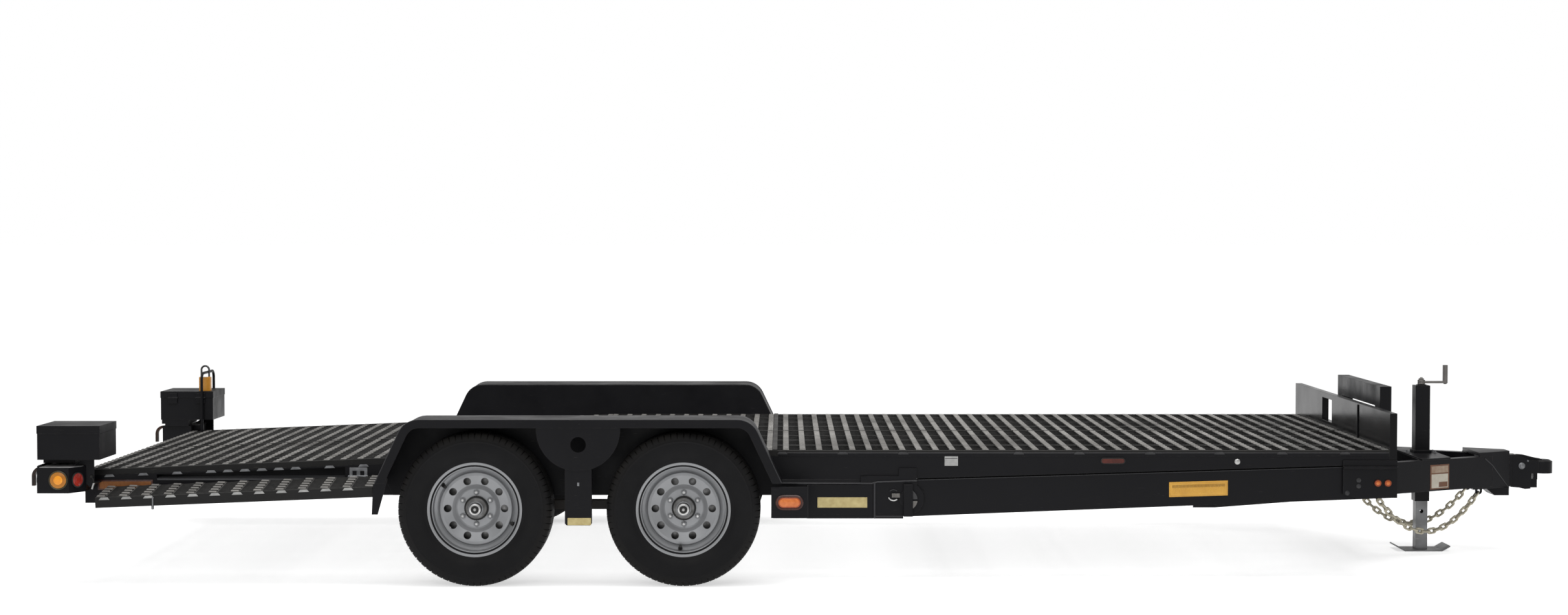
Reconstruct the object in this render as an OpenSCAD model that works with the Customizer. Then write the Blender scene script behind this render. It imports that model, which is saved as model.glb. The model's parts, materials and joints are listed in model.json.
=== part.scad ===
// Tandem-axle tilt-deck car trailer. The chassis carries the deck and the axles, and a
// tongue frame hinges below the deck ahead of the wheels. +X points to the hitch.

/* [Deck] */
// Width of the deck between the fenders
deck_w = 2080; // [1700:10:2100]
// Height of the level deck above the ground
deck_h = 580; // [570:2:620]
// Distance from the middle of the axles to the front face of the deck
deck_front = 3632; // [3600:4:3660]
// Distance from the middle of the axles to the rear face of the deck
deck_rear = 2220; // [2190:5:2500]
// Drop of the sloping tail at its rear end
tail_drop = 88; // [70:2:90]
// Thickness of the deck planks
plank_t = 25; // [20:1:27]
// Distance from one plank rib to the next
rib_pitch = 73.3; // [68:0.1:100]
// Width of the raised rib of a plank
rib_w = 27; // [15:1:35]
// Width of the side rails
rail_w = 60; // [50:1:70]
// Side of a square cross member under the deck
cross_w = 50; // [40:2:52]
// Height of the front stop above the deck
stop_h = 164; // [150:2:200]

/* [Wheels] */
// Outside diameter of the tyre
tyre_d = 676; // [660:2:680]
// Width of the tyre over its side walls
tyre_w = 205; // [190:1:210]
// Distance between the two axles
axle_gap = 914; // [880:2:960]
// Outside diameter of the rim flange
rim_d = 416; // [412:1:424]
// Radius of the circle of hand holes in the wheel disc
hand_hole_ring = 125; // [122:1:128]
// Radius of one hand hole
hand_hole_r = 16.5; // [10:0.5:18]
// Diameter of the axle tube
axle_d = 60; // [50:1:64]
// Radius of the wheel spindle
spindle_r = 17; // [14:0.5:20]
// Gap between the tyre and the side of the deck
tyre_gap = 25; // [24:1:28]

/* [Fenders] */
// Width of a fender, from the deck out
fender_w = 255; // [250:1:270]
// Gap between the top of the tyre and the top of the fender
fender_gap = 60; // [52:1:80]
// Thickness of the fender sheet
sheet_t = 3; // [2:0.5:4]
// Height of the rolled lip along the outer edge
lip_h = 36; // [28:1:44]
// Radius of the round skirt between the wheels
skirt_r = 184; // [170:1:190]
// Radius of the sight hole in the skirt
sight_hole_r = 34; // [20:1:40]

/* [Tongue frame] */
// Distance from the middle of the axles to the tilt pivot
pivot_x = 1450; // [1430:5:1500]
// Depth of the tilt pivot below the top of the deck
pivot_drop = 215; // [210:1:220]
// Radius of the tilt pivot pin
pivot_r = 19; // [14:1:24]
// Height of the tongue rail at the pivot
tongue_h_rear = 163; // [150:1:168]
// Height of the tongue rail at its front end
tongue_h_front = 145; // [138:1:150]
// Rise of the top of the tongue rail for each metre forward
tongue_rise = 30; // [26:1:30]
// Width of a channel of the drawbar frame
arm_w = 50; // [44:1:56]
// Height of a channel of the drawbar frame
arm_h = 148; // [135:1:150]
// Distance from the middle of the axles to the front end of the drawbar channels
arm_front = 4320; // [4280:5:4400]
// Radial running clearance of a pin in its bore
pin_clear = 0.08; // [0.02:0.01:0.1]
// Gap on each side of a tongue rail in the deck frame
tilt_clear = 6; // [5:0.5:8]

/* [Jack] */
// Side of the square outer tube
jack_tube_w = 70; // [66:1:76]
// Side of the square sliding leg
jack_leg_w = 57; // [50:1:57]
// Height of the top of the outer tube
jack_top = 802; // [780:2:830]
// Distance from the middle of the axles to the jack
jack_x = 4000; // [3980:5:4040]
// Length of the jack's foot plate
foot_l = 260; // [220:5:280]
// Length of the crank arm
crank_l = 116; // [90:1:140]

/* [Chains] */
// Diameter of the chain wire
wire_d = 8; // [6:0.5:8]
// Inside length of a link
link_l = 33; // [31:0.5:35]
// Number of links in a chain
links = 21; // [19:2:23]

/* [Rear boxes] */
// Length of a corner box
box_l = 277; // [240:1:290]
// Width of a corner box
box_w = 280; // [240:1:290]
// Height of a corner box
box_h = 149; // [130:1:170]
// Length of a lamp box
lamp_box_l = 150; // [130:1:170]
// Height of a lamp box
lamp_box_h = 112; // [104:1:118]

/* [Hidden] */
$fn = 48;

black = "#17171a";
touch = 0.3;          // gap that stands for a seated contact between round faces
half_w = deck_w / 2;
rail_in = half_w - rail_w;
rail_top = deck_h - plank_t;
tail_angle = atan(tail_drop / deck_rear);
wheel_z = tyre_d / 2;
wheel_y = half_w + tyre_gap + tyre_w / 2;     // middle plane of a wheel
wheel_x = axle_gap / 2;
fender_y = half_w + fender_w;                 // outer face of a fender
pivot_z = deck_h - pivot_drop;
fender_h = tyre_d + fender_gap;
rail_rise = 42;       // from the wheel centres up to the main rails
rail_taper = 35;
stub_depth = 304;     // from the top of the deck down to the underside of a stub
chassis_low = wheel_z + rail_rise;     // underside of the main rails between the wheels
tail_low = chassis_low - rail_taper;   // underside of the main rails at the rear
frame_low = deck_h - stub_depth;       // underside of the deck rails behind the pivot
rail_bend = -905;     // where a main rail starts to taper to the rear
stub_x = [850, pivot_x - 150];                // the deep part of a deck rail
stop_t = 32;
deck_x1 = deck_front - stop_t;
beam_t = 40;
tail_x0 = beam_t - deck_rear;
bracket_t = 10;       // thickness of the pivot and latch plates

lamp_box_drop = 169;
lamp_box_z = deck_h - lamp_box_drop;
lamp_box_top = lamp_box_z + lamp_box_h;
lamp_box_x = -deck_rear - lamp_box_l;
lamp_box_w = 220;
lamp_box_y = half_w + lamp_box_w;
pedestal_h = 33;
box_x0 = lamp_box_x - 6;
box_y0 = half_w - 80;
box_z = lamp_box_top + pedestal_h;
box_top = box_z + box_h;
hook_reach = 66;
lamp_t = 10;

arm_drop = 262;       // from the top of the deck down to the underside of the drawbar
arm_z = deck_h - arm_drop;
arm_top = arm_z + arm_h;
head_plate_t = 8;
tongue_in = rail_in + tilt_clear;
tongue_out = half_w - tilt_clear;
arm_x0 = 2830;        // where the outer face of an arm leaves the tongue rail
arm_tip_y = 110;      // half width over the arms at their front ends
arm_slope = (tongue_in - arm_tip_y) / (arm_front - arm_x0);
arm_step = arm_w * sqrt(1 + arm_slope * arm_slope);  // width of an arm across the trailer
head_x1 = arm_front + 100;
coupler_l = 220;
x_shift = -(head_x1 + coupler_l + lamp_box_x - hook_reach) / 2;

// Height of the underside of the deck planks at station x
function deck_low(x) = x > 0 ? rail_top : deck_h - plank_t / cos(tail_angle) + x * tan(tail_angle);
// Height of the top of a tongue rail at station x
function tongue_top(x) = pivot_z + tongue_h_rear / 2 + (x - pivot_x) * tongue_rise / 1000;
// Height of the underside of a tongue rail at station x
function tongue_low(x) = tongue_top(x) - tongue_h_rear
    + (tongue_h_rear - tongue_h_front) * (x - pivot_x) / (deck_front - pivot_x);
// Distance of the outer face of a drawbar arm from the middle at station x
function arm_edge(x) = tongue_in - (x - arm_x0) * arm_slope;

function reverse(list) = [for (i = [len(list) - 1 : -1 : 0]) list[i]];
function unit(v) = v / norm(v);
// The arc of radius r that rounds corner b of the path a, b, c
function corner(a, b, c, r, steps = 6) =
    let (u = unit(a - b), v = unit(c - b), half = acos(u * v) / 2,
         middle = b + unit(u + v) * r / sin(half), arm = b + u * r / tan(half) - middle,
         turn = (180 - 2 * half) * sign(cross(b - a, c - b)))
    [for (i = [0 : steps]) let (k = turn * i / steps)
        middle + [arm[0] * cos(k) - arm[1] * sin(k), arm[0] * sin(k) + arm[1] * cos(k)]];
// An open path with its inner corners rounded
function rounded(p, r) = let (e = len(p) - 1)
    [p[0], for (i = [1 : e - 1]) each corner(p[i - 1], p[i], p[i + 1], r), p[e]];

// Moves a piece from the axles' frame to the trailer's own frame
module placed() translate([x_shift, 0, 0]) children();
// A piece modelled on the far side, drawn there or as its mirror image on the near side
module side(far) translate([x_shift, 0, 0]) mirror([0, far ? 0 : 1, 0]) children();
// A piece drawn on both sides
module both_sides() for (far = [false, true]) side(far) children();
// Extrudes an outline of the side view across the trailer, from y0 to y1
module across(y0, y1) translate([0, y1, 0]) rotate([90, 0, 0]) linear_extrude(y1 - y0) children();
// A block given by its lowest and highest corners
module block(low, high) translate(low) cube(high - low);
// A round bar along Y
module pin(x, z, r, y0, y1) translate([x, y1, z]) rotate([90, 0, 0]) cylinder(r = r, h = y1 - y0);
// The frame of the sloping tail, with its origin where it leaves the level deck
module tail() translate([0, 0, deck_h]) rotate([0, -tail_angle, 0]) children();

/* Deck frame */
recess_x = [-1900, -1060];
recess_drop = 124;
recess_z = deck_h - recess_drop;
recess_lip = 8;
rail_wall = 10;
module main_rail() color(black) difference() {
    across(rail_in, half_w) polygon([
        [tail_x0, tail_low], [rail_bend, chassis_low], [stub_x[0], chassis_low],
        [stub_x[0], rail_top], [0, deck_low(0)], [tail_x0, deck_low(tail_x0)]]);
    across(rail_in + rail_wall, half_w + 1) polygon([
        [recess_x[0], recess_z], [recess_x[1], recess_z],
        [recess_x[1], deck_low(recess_x[1]) - recess_lip],
        [recess_x[0], deck_low(recess_x[0]) - recess_lip]]);
}
module deck_rail() color(black) across(rail_in, half_w) polygon([
    [stub_x[0], frame_low], [stub_x[1], frame_low],
    [stub_x[1], tongue_top(pivot_x) + tilt_clear], [pivot_x, tongue_top(pivot_x) + tilt_clear],
    [deck_x1, tongue_top(deck_x1) + tilt_clear], [deck_x1, rail_top], [stub_x[0], rail_top]]);
member_x = [250, 760, 1270, 1780, 2290, 2800, 3150, 3430];
tail_member_x = [-2060, -1560, -1060, -560, -120];
module cross_members() color(black) {
    for (x = member_x)
        block([x - cross_w / 2, -rail_in, rail_top - cross_w], [x + cross_w / 2, rail_in, rail_top]);
    tail() for (x = tail_member_x)
        block([x - cross_w / 2, -rail_in, -plank_t - cross_w], [x + cross_w / 2, rail_in, -plank_t]);
}
module rear_beam() color(black) across(-half_w, half_w) polygon([
    [-deck_rear, tail_low], [tail_x0, tail_low],
    [tail_x0, deck_low(tail_x0)], [-deck_rear, deck_low(-deck_rear)]]);
window_w = 220;
window_h = 112;
window_y = 270;       // from the middle of the deck to the middle of a window
window_z = 26;
stop_foot = 32;       // how far the stop reaches down over the ends of the deck rails
module front_stop() color("#101013") translate([deck_x1, 0, 0]) rotate([90, 0, 90])
    linear_extrude(stop_t) difference() {
        translate([-half_w, rail_top - stop_foot]) square([deck_w, plank_t + stop_h + stop_foot]);
        translate([window_y - window_w / 2, deck_h + window_z]) square([window_w, window_h]);
    }

/* Deck planks, whose ribs across the trailer are joined by flats that run along it */
flats = 4;
flat_w = 12;
module planks(x0, x1, y0, y1, pitch, rib, rows) {
    bays = floor((x1 - x0 - rib) / pitch);
    step = (x1 - x0 - rib) / bays;
    row = (y1 - y0 - flat_w) / rows;
    linear_extrude(plank_t) difference() {
        translate([x0, y0]) square([x1 - x0, y1 - y0]);
        for (i = [0 : bays - 1], j = [0 : rows - 1])
            translate([x0 + rib + i * step, y0 + flat_w + j * row])
                square([step - rib, row - flat_w]);
    }
}
module deck_front() color("#202024") translate([0, 0, rail_top])
    planks(0, deck_x1, 0, half_w, rib_pitch, rib_w, flats);
module deck_tail() color("#202024") tail() translate([0, 0, -plank_t])
    planks(-deck_rear / cos(tail_angle), -plank_t * tan(tail_angle), 0, half_w, rib_pitch, rib_w, flats);
wing_x = [-2120, -906];
wing_w = 230;
wing_drop = 103;
wing_t = 45;
wing_pitch = 97;
wing_rib = 37;
wing_edge = 6;
module side_wing() color("#202024") tail() {
    translate([0, 0, -wing_drop - plank_t])
        planks(wing_x[0], wing_x[1], half_w, half_w + wing_w, wing_pitch, wing_rib, 2);
    block([wing_x[0], half_w + wing_w - wing_edge, -wing_drop - wing_t],
        [wing_x[1], half_w + wing_w, -wing_drop - plank_t]);
}

/* Fenders */
fender_top = 755;
foot_drop = 279;      // from the fender's top down to its feet
fender_foot = [887, fender_h - foot_drop];
fender_r = 95;
fender_corners = [[fender_foot[0], fender_foot[1]], [fender_top, fender_h],
    [-fender_top, fender_h], [-fender_foot[0], fender_foot[1]]];
fender_lean = atan2(fender_h - fender_foot[1], fender_foot[0] - fender_top);
skirt_drop = 41;      // from the fender's top down to the middle of the skirt's arc
sight_drop = 109;
tab_h = 135;
tab_low = fender_foot[1] - tab_h;
// The fender's outline moved inward by t
function fender_inside(t) = let (h = t / sin(fender_lean), k = t * tan(fender_lean / 2)) [
    [fender_foot[0] - h, fender_foot[1]], [fender_top - k, fender_h - t],
    [k - fender_top, fender_h - t], [h - fender_foot[0], fender_foot[1]]];
// The arch of the fender with thickness t
function fender_arch(t) = concat(rounded(fender_corners, fender_r),
    reverse(rounded(fender_inside(t), fender_r - t)));
module fender() color("#141417") {
    across(half_w, fender_y) polygon(fender_arch(sheet_t));
    across(fender_y - sheet_t, fender_y) polygon(fender_arch(lip_h));
    difference() {
        across(fender_y - 2 * sheet_t, fender_y - sheet_t) intersection() {
            translate([0, fender_h - skirt_drop]) circle(r = skirt_r, $fn = 96);
            translate([-skirt_r, 0]) square([2 * skirt_r, fender_h - sheet_t]);
        }
        pin(0, fender_h - sight_drop, sight_hole_r, fender_y - 4 * sheet_t, fender_y);
    }
    across(fender_y - 2 * sheet_t, fender_y - sheet_t) translate([-fender_foot[0], fender_foot[1]])
        polygon([[31, 46], [56, 20], [12, tab_low - fender_foot[1]], [-14, tab_low - fender_foot[1]],
            [-8, -6], [2, 0]]);
}
module fender_back() color("#141417") across(half_w, half_w + sheet_t) polygon(concat(
    [[fender_foot[0] - 40, chassis_low]], rounded(fender_inside(sheet_t), fender_r - sheet_t),
    [[40 - fender_foot[0], chassis_low]]));
brace_w = 117;
brace_drop = 191;     // from the fender's top down to the top of a brace
brace_h = 271;
brace_z = [fender_h - brace_drop - brace_h, fender_h - brace_drop];
brace_depth = 26;
brace_bevel = 8;
brace_arm_rise = 12;
brace_arm_h = 40;
brace_arm_z = [chassis_low + brace_arm_rise, chassis_low + brace_arm_rise + brace_arm_h];
brace_arm_w = 44;
brace_slot_gap = 14;  // from the arm up to the slot
brace_slot_h = 16;
brace_slot_z = [brace_arm_z[1] + brace_slot_gap, brace_arm_z[1] + brace_slot_gap + brace_slot_h];
module fender_brace() color("#1c1c20") {
    y1 = fender_y - 2 * sheet_t;
    x1 = brace_w / 2;
    difference() {
        across(y1 - brace_depth, y1) polygon([
            [brace_bevel - x1, brace_z[0]], [x1 - brace_bevel, brace_z[0]], [x1, brace_z[0] + brace_bevel],
            [x1, brace_z[1]], [-x1, brace_z[1]], [-x1, brace_z[0] + brace_bevel]]);
        block([sheet_t - x1, y1 - brace_depth - 1, brace_z[0] + brace_bevel + sheet_t],
            [x1 - sheet_t, y1 - sheet_t, brace_z[1] + 1]);
        block([-5, y1 - brace_depth, brace_slot_z[0]], [5, y1 + 1, brace_slot_z[1]]);
    }
    block([-brace_arm_w / 2, half_w + sheet_t, brace_arm_z[0]],
        [brace_arm_w / 2, y1 - sheet_t, brace_arm_z[1]]);
}
side_lamp_drop = 206;
side_lamp = [922, deck_h - side_lamp_drop];
side_lens = [122, 66];
side_plate = [160, 136];
side_plate_t = 8;
side_arm = [80, 68];
module side_lamp_bracket() color(black) {
    y1 = fender_y - lamp_t - side_plate_t;
    across(y1, fender_y - lamp_t) translate(side_lamp - side_plate / 2) square(side_plate);
    across(half_w, y1) translate(side_lamp - side_arm / 2) square(side_arm);
}

/* Latch and pivot between deck and tongue frame */
latch_l = 242;
latch_drop = 212;
latch_z = [deck_h - latch_drop, rail_top - 20];
ledge_drop = 80;
latch_ledge_z = deck_h - ledge_drop;
module latch_plate() color(black) {
    across(half_w, half_w + bracket_t) polygon([
        [deck_front - latch_l, latch_z[0] + 16], [deck_front - latch_l + 60, latch_z[0]],
        [deck_front, latch_z[0]], [deck_front, latch_z[1]], [deck_front - latch_l, latch_z[1]]]);
    block([deck_front - latch_l, half_w + bracket_t, latch_ledge_z],
        [deck_front, half_w + bracket_t + 18, latch_ledge_z + 8]);
}
ear_r = 72;
washer_t = 8;
ear_back = 60;        // how far an ear reaches back over the stub
ear_rise = 100;       // how far its plate reaches over the pivot
strap_w = 80;
strap_h = 135;
module pivot_bracket() color(black) {
    for (y = [rail_in - bracket_t, half_w]) across(y, y + bracket_t) {
        translate([pivot_x, pivot_z]) circle(r = ear_r);
        translate([stub_x[1] - ear_back, pivot_z - ear_r])
            square([pivot_x - stub_x[1] + ear_back, ear_r + ear_rise]);
        translate([pivot_x - strap_w / 2, pivot_z]) square([strap_w, strap_h]);
    }
    pin(pivot_x, pivot_z, pivot_r, rail_in - bracket_t, half_w + bracket_t);
    pin(pivot_x, pivot_z, 2 * pivot_r, half_w + bracket_t, half_w + bracket_t + washer_t);
}

/* Running gear */
spring_end = 760;
leaf_t = 7;
leaves = 5;
spring_w = 45;
spring_y = [rail_in + 8, rail_in + 8 + spring_w];
spring_half = spring_end - wheel_x;
seat_z = wheel_z - axle_d / 2;    // where the axle sits on its springs
seat_l = 90;
spring_rise = 25;
eye_r = 14;
eye_x = [wheel_x - spring_half, spring_end];
eye_z = seat_z + spring_rise + 4;
bolt_r = 8;
// Height of the top of a leaf pack at distance d from the axle
function leaf_curve(d) = seat_z + spring_rise * pow(max(0, d - 60) / (spring_half - 60), 2);
module leaf_pack() difference() {
    across(spring_y[0], spring_y[1]) {
        for (k = [0 : leaves - 1]) {
            reach = spring_half * (1 - 0.17 * k);
            top = [for (i = [-8 : 8]) [wheel_x + reach * i / 8, leaf_curve(abs(reach * i / 8)) - k * leaf_t]];
            polygon(concat(top, reverse([for (p = top) p - [0, leaf_t]])));
        }
        for (x = eye_x) translate([x, eye_z]) circle(r = eye_r);
    }
    for (x = eye_x) pin(x, eye_z, bolt_r + touch, 0, half_w);
}
module leaf_springs() color("#222226") {
    leaf_pack();
    mirror([1, 0, 0]) leaf_pack();
}
hanger_t = 6;
equalizer_l = 2 * (eye_x[0] + 24);
module hanger_plates(outline) for (y = [spring_y[0] - hanger_t, spring_y[1]])
    across(y, y + hanger_t) polygon(outline);
module spring_hanger() color(black) {
    for (s = [-1, 1]) {
        x = s * eye_x[1];
        hanger_plates([[x - 42, chassis_low], [x + 42, chassis_low], [x + 20, eye_z - 24], [x - 20, eye_z - 24]]);
        for (eye = eye_x)
            pin(s * eye, eye_z, bolt_r, spring_y[0] - hanger_t, spring_y[1] + hanger_t);
    }
    hanger_plates([for (c = [[-1, -1], [1, -1], [1, 1], [-1, 1]])
        [c[0] * equalizer_l / 2, eye_z + c[1] * 20]]);
    block([-24, spring_y[0], eye_z - 20], [24, spring_y[1], chassis_low]);
}
backing_y = half_w + 14;
backing_r = 154;
backing_t = 4;
spindle_y = wheel_y - 8;
module axles() color("#1a1a1d") for (x = [-wheel_x, wheel_x]) {
    pin(x, wheel_z, axle_d / 2, -backing_y, backing_y);
    for (far = [false, true]) mirror([0, far ? 0 : 1, 0]) {
        pin(x, wheel_z, backing_r, backing_y - backing_t, backing_y);
        pin(x, wheel_z, spindle_r, backing_y - backing_t, spindle_y);
        block([x - seat_l / 2, spring_y[0], seat_z], [x + seat_l / 2, spring_y[1], wheel_z]);
    }
}

/* Wheels, modelled about their own axis with +Z towards the outside of the trailer */
rim_r = rim_d / 2;
bead_r = rim_r - 17;
rim_half = 84;
bead_z = rim_half - 8;
flange_z = rim_half - 3;
tread_r = tyre_d / 2;
tyre_half = tyre_w / 2;
pad_z = 10;           // outer face of the disc's bolting ring
drum_z = backing_y + 5 - wheel_y;
groove_w = 9;
groove_d = 8;
groove_pitch = 32;
module wheel(front, far)
    translate([x_shift + (front ? 1 : -1) * wheel_x, (far ? 1 : -1) * wheel_y, wheel_z])
    rotate([far ? -90 : 90, 0, 0]) children();
// Points of one side of the tyre's section, from the bead to the tread
tyre_side = concat(
    [[bead_r, bead_z], [rim_r, flange_z]],
    [for (a = [-60 : 20 : 0]) [rim_r + 54 + 46 * sin(a), 60 + (tyre_half - 60) * cos(a)]],
    [[tread_r - 38, tyre_half - 1], [tread_r - 12, tyre_half - 12], [tread_r - 3, tyre_half - 26],
     [tread_r, tyre_half - 42]]);
module tyre() color("#1b1b1c") difference() {
    rotate_extrude($fn = 96) polygon(concat([for (p = tyre_side) [p[0], -p[1]]], reverse(tyre_side)));
    for (k = [-1.5 : 1.5]) translate([0, 0, k * groove_pitch - groove_w / 2]) rotate_extrude($fn = 96)
        translate([tread_r - groove_d, 0]) square([groove_d + 1, groove_w]);
}
module rim() color("#b9babb") difference() {
    rotate_extrude($fn = 96) polygon([
        [rim_r, -rim_half], [rim_r, -flange_z], [bead_r, -bead_z], [bead_r, -rim_half + 30],
        [bead_r - 18, -rim_half + 44], [bead_r - 18, 20], [bead_r, 36], [bead_r, bead_z],
        [rim_r, flange_z], [rim_r, rim_half], [rim_r - 5, rim_half], [bead_r - 6, bead_z - 2],
        [bead_r - 8, 38], [164, 24], [158, 34], [146, 36], [106, 24], [90, pad_z + 3], [84, pad_z],
        [47, pad_z], [47, 0], [86, 0], [92, 4], [108, 16], [148, 28], [155, 26], [bead_r - 26, 12],
        [bead_r - 24, -rim_half + 42], [bead_r - 6, -rim_half + 28], [bead_r - 6, 2 - bead_z],
        [rim_r - 5, -rim_half]]);
    for (k = [0 : 9]) rotate([0, 0, 36 * k]) translate([hand_hole_ring, 0, 0])
        cylinder(r = hand_hole_r, h = 60);
}
drum_gap = 17;        // room between the brake drum and the rim's barrel
drum_r = bead_r - 24 - drum_gap;
module hub() color("#9a9b9c") difference() {
    rotate_extrude($fn = 64) polygon([
        [0, drum_z], [drum_r - 3, drum_z], [drum_r, drum_z + 6], [drum_r, -26], [drum_r - 8, -18],
        [90, -14], [84, 0], [47 - touch, 0], [46, 26],
        [30, 34], [28, 64], [24, 72], [0, 75]]);
    translate([0, 0, drum_z - 1]) cylinder(r = spindle_r + pin_clear, h = spindle_y + 1 - wheel_y - drum_z + 1);
}

/* Rear boxes, hooks and lamps */
bevel = [52, 90];
module lamp_box() color(black) translate([0, 0, lamp_box_z]) linear_extrude(lamp_box_h) polygon([
    [lamp_box_x, rail_in], [-deck_rear, rail_in], [-deck_rear, half_w], [tail_x0, half_w],
    [tail_x0, lamp_box_y - bevel[1]], [tail_x0 - bevel[0], lamp_box_y], [lamp_box_x, lamp_box_y]]);
lid_h = 34;
lid_rim = 2;
shelf_w = 120;        // how far the shelf under a box reaches out over its lamp box
shelf_t = 21;
module corner_box() color("#1b1b1e") {
    block([box_x0 + lid_rim, box_y0 + lid_rim, box_z],
        [box_x0 + box_l - lid_rim, box_y0 + box_w - lid_rim, box_top - lid_h]);
    block([box_x0, box_y0, box_top - lid_h], [box_x0 + box_l, box_y0 + box_w, box_top]);
    block([lamp_box_x + 20, box_y0 + 4, lamp_box_top], [-deck_rear - 10, half_w - 6, box_z]);
    block([lamp_box_x, box_y0 + 4, box_z - shelf_t], [-deck_rear - 10, half_w + shelf_w, box_z]);
}
hook_y = [half_w + 50, half_w + 74];
hook_bar = 14;
hook_drop = 86;
hook_r = 42;
module rear_hook() color("#2a2a2d") across(hook_y[0], hook_y[1])
    translate([lamp_box_x, lamp_box_top - 8]) polygon(concat(
        rounded([[0, 0], [-hook_reach, 0], [-hook_reach, -hook_drop]], hook_r),
        reverse(rounded([[0, -hook_bar], [hook_bar - hook_reach, -hook_bar],
            [hook_bar - hook_reach, -hook_drop]], hook_r - hook_bar))));
hoop_r = 7;
hoop_back = 221;
hoop_out = 185;
hoop_x = box_x0 + hoop_back;
hoop_y = [box_y0 - 15, half_w + hoop_out];
hoop_top = box_top + 95;
hoop_bend = 35;
module bend_bar(turn) rotate([90, 0, 90]) rotate([0, 0, turn]) rotate_extrude(angle = 90)
    translate([hoop_bend, 0]) circle(r = hoop_r);
module lock_hoop() color("#1a1a1c") translate([hoop_x, 0, 0]) {
    foot = deck_h + (hoop_x + hoop_r) * tan(tail_angle);
    bend_z = hoop_top - hoop_bend;
    translate([0, hoop_y[0], foot]) cylinder(r = hoop_r, h = bend_z - foot);
    translate([0, hoop_y[0] + hoop_bend, bend_z]) bend_bar(90);
    pin(0, hoop_top, hoop_r, hoop_y[0] + hoop_bend, hoop_y[1] - hoop_bend);
    translate([0, hoop_y[1] - hoop_bend, bend_z]) bend_bar(0);
    translate([0, hoop_y[1], box_top]) cylinder(r = hoop_r, h = bend_z - box_top);
}
lock_w = 60;
lock_h = 72;
lock_t = 28;
shackle_r = 5;
shackle_w = 20;
shackle_h = 38;
module padlock() color("#c08a2c") translate([hoop_x, half_w - 10, box_top]) {
    block([-lock_w / 2, -lock_t / 2, 0], [lock_w / 2, lock_t / 2, lock_h]);
    for (s = [-1, 1]) translate([s * shackle_w, 0, lock_h]) cylinder(r = shackle_r, h = shackle_h);
    translate([0, 0, lock_h + shackle_h]) rotate([90, 0, 0]) rotate_extrude(angle = 180)
        translate([shackle_w, 0]) circle(r = shackle_r);
}
module oval(x, z, w, h, y0, y1) {
    for (s = [-1, 1]) pin(x + s * (w - h) / 2, z, h / 2, y0, y1);
    block([x - (w - h) / 2, y0, z - h / 2], [x + (w - h) / 2, y1, z + h / 2]);
}
front_lamp_x = [87, 42];
front_lamp_drop = 146;
front_lamp_r = 17;
front_lamp_t = 6;
corner_lamp = [56, 58];
corner_lamp_r = 37;
module amber_lamp_set() color("#d98418") {
    oval(side_lamp[0], side_lamp[1], side_lens[0], side_lens[1], fender_y - lamp_t, fender_y);
    pin(-deck_rear - corner_lamp[0], lamp_box_z + corner_lamp[1], corner_lamp_r,
        lamp_box_y, lamp_box_y + lamp_t);
    for (x = front_lamp_x) pin(deck_front - x, deck_h - front_lamp_drop, front_lamp_r,
        half_w + bracket_t, half_w + bracket_t + front_lamp_t);
}
tail_lamp = [158, 56];
tail_lamp_r = 42;
bevel_lamp_r = 34;
module red_lamp_set() color("#8c1a1a") {
    translate([lamp_box_x - lamp_t, half_w + tail_lamp[0], lamp_box_z + tail_lamp[1]]) rotate([0, 90, 0])
        cylinder(r = tail_lamp_r, h = lamp_t);
    translate([tail_x0 - bevel[0] / 2, lamp_box_y - bevel[1] / 2, lamp_box_z + tail_lamp[1]])
        rotate([0, 90, atan2(bevel[0], bevel[1])]) cylinder(r = bevel_lamp_r, h = lamp_t);
}

/* Tongue frame */
tongue_x1 = deck_front - 12;
module tongue_rail() color(black) difference() {
    across(tongue_in, tongue_out) {
        translate([pivot_x, pivot_z]) circle(r = tongue_h_rear / 2, $fn = 96);
        polygon([[pivot_x, tongue_low(pivot_x)], [tongue_x1, tongue_low(tongue_x1)],
            [tongue_x1, tongue_top(tongue_x1)], [pivot_x, tongue_top(pivot_x)]]);
    }
    pin(pivot_x, pivot_z, pivot_r + pin_clear, tongue_in - 1, tongue_out + 1);
}
beam_x = [3500, 3590];
beam_h = 32;
strut_x = [3690, 3750];
strut_h = 60;
tongue_member_x = [1610, 2250];
tongue_member_w = 80;
tongue_member_z = [40, 120];          // over the underside of the tongue rails
module tongue_cross_members() color(black) {
    for (x = tongue_member_x) block([x, -tongue_in, tongue_low(x) + tongue_member_z[0]],
        [x + tongue_member_w, tongue_in, tongue_low(x) + tongue_member_z[1]]);
    block([beam_x[0], -tongue_in, arm_top], [beam_x[1], tongue_in, arm_top + beam_h]);
    translate([0, 0, arm_z]) linear_extrude(strut_h) polygon([
        for (s = [-1, 1], x = s < 0 ? strut_x : reverse(strut_x)) [x, s * (arm_edge(x) - arm_step)]]);
    lug(chain_points[0], chain_points[1], arm_z);
}
module drawbar_arm() color(black) translate([0, 0, arm_z]) linear_extrude(arm_h) polygon([
    [arm_x0, tongue_in], [arm_front, arm_tip_y], [arm_front, arm_tip_y - arm_step],
    [arm_x0 - arm_step / arm_slope, tongue_in]]);
head_half = 46;       // half width of the head's front face
head_wall = 10;
cover_t = 20;
cover_l = 75;
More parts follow.
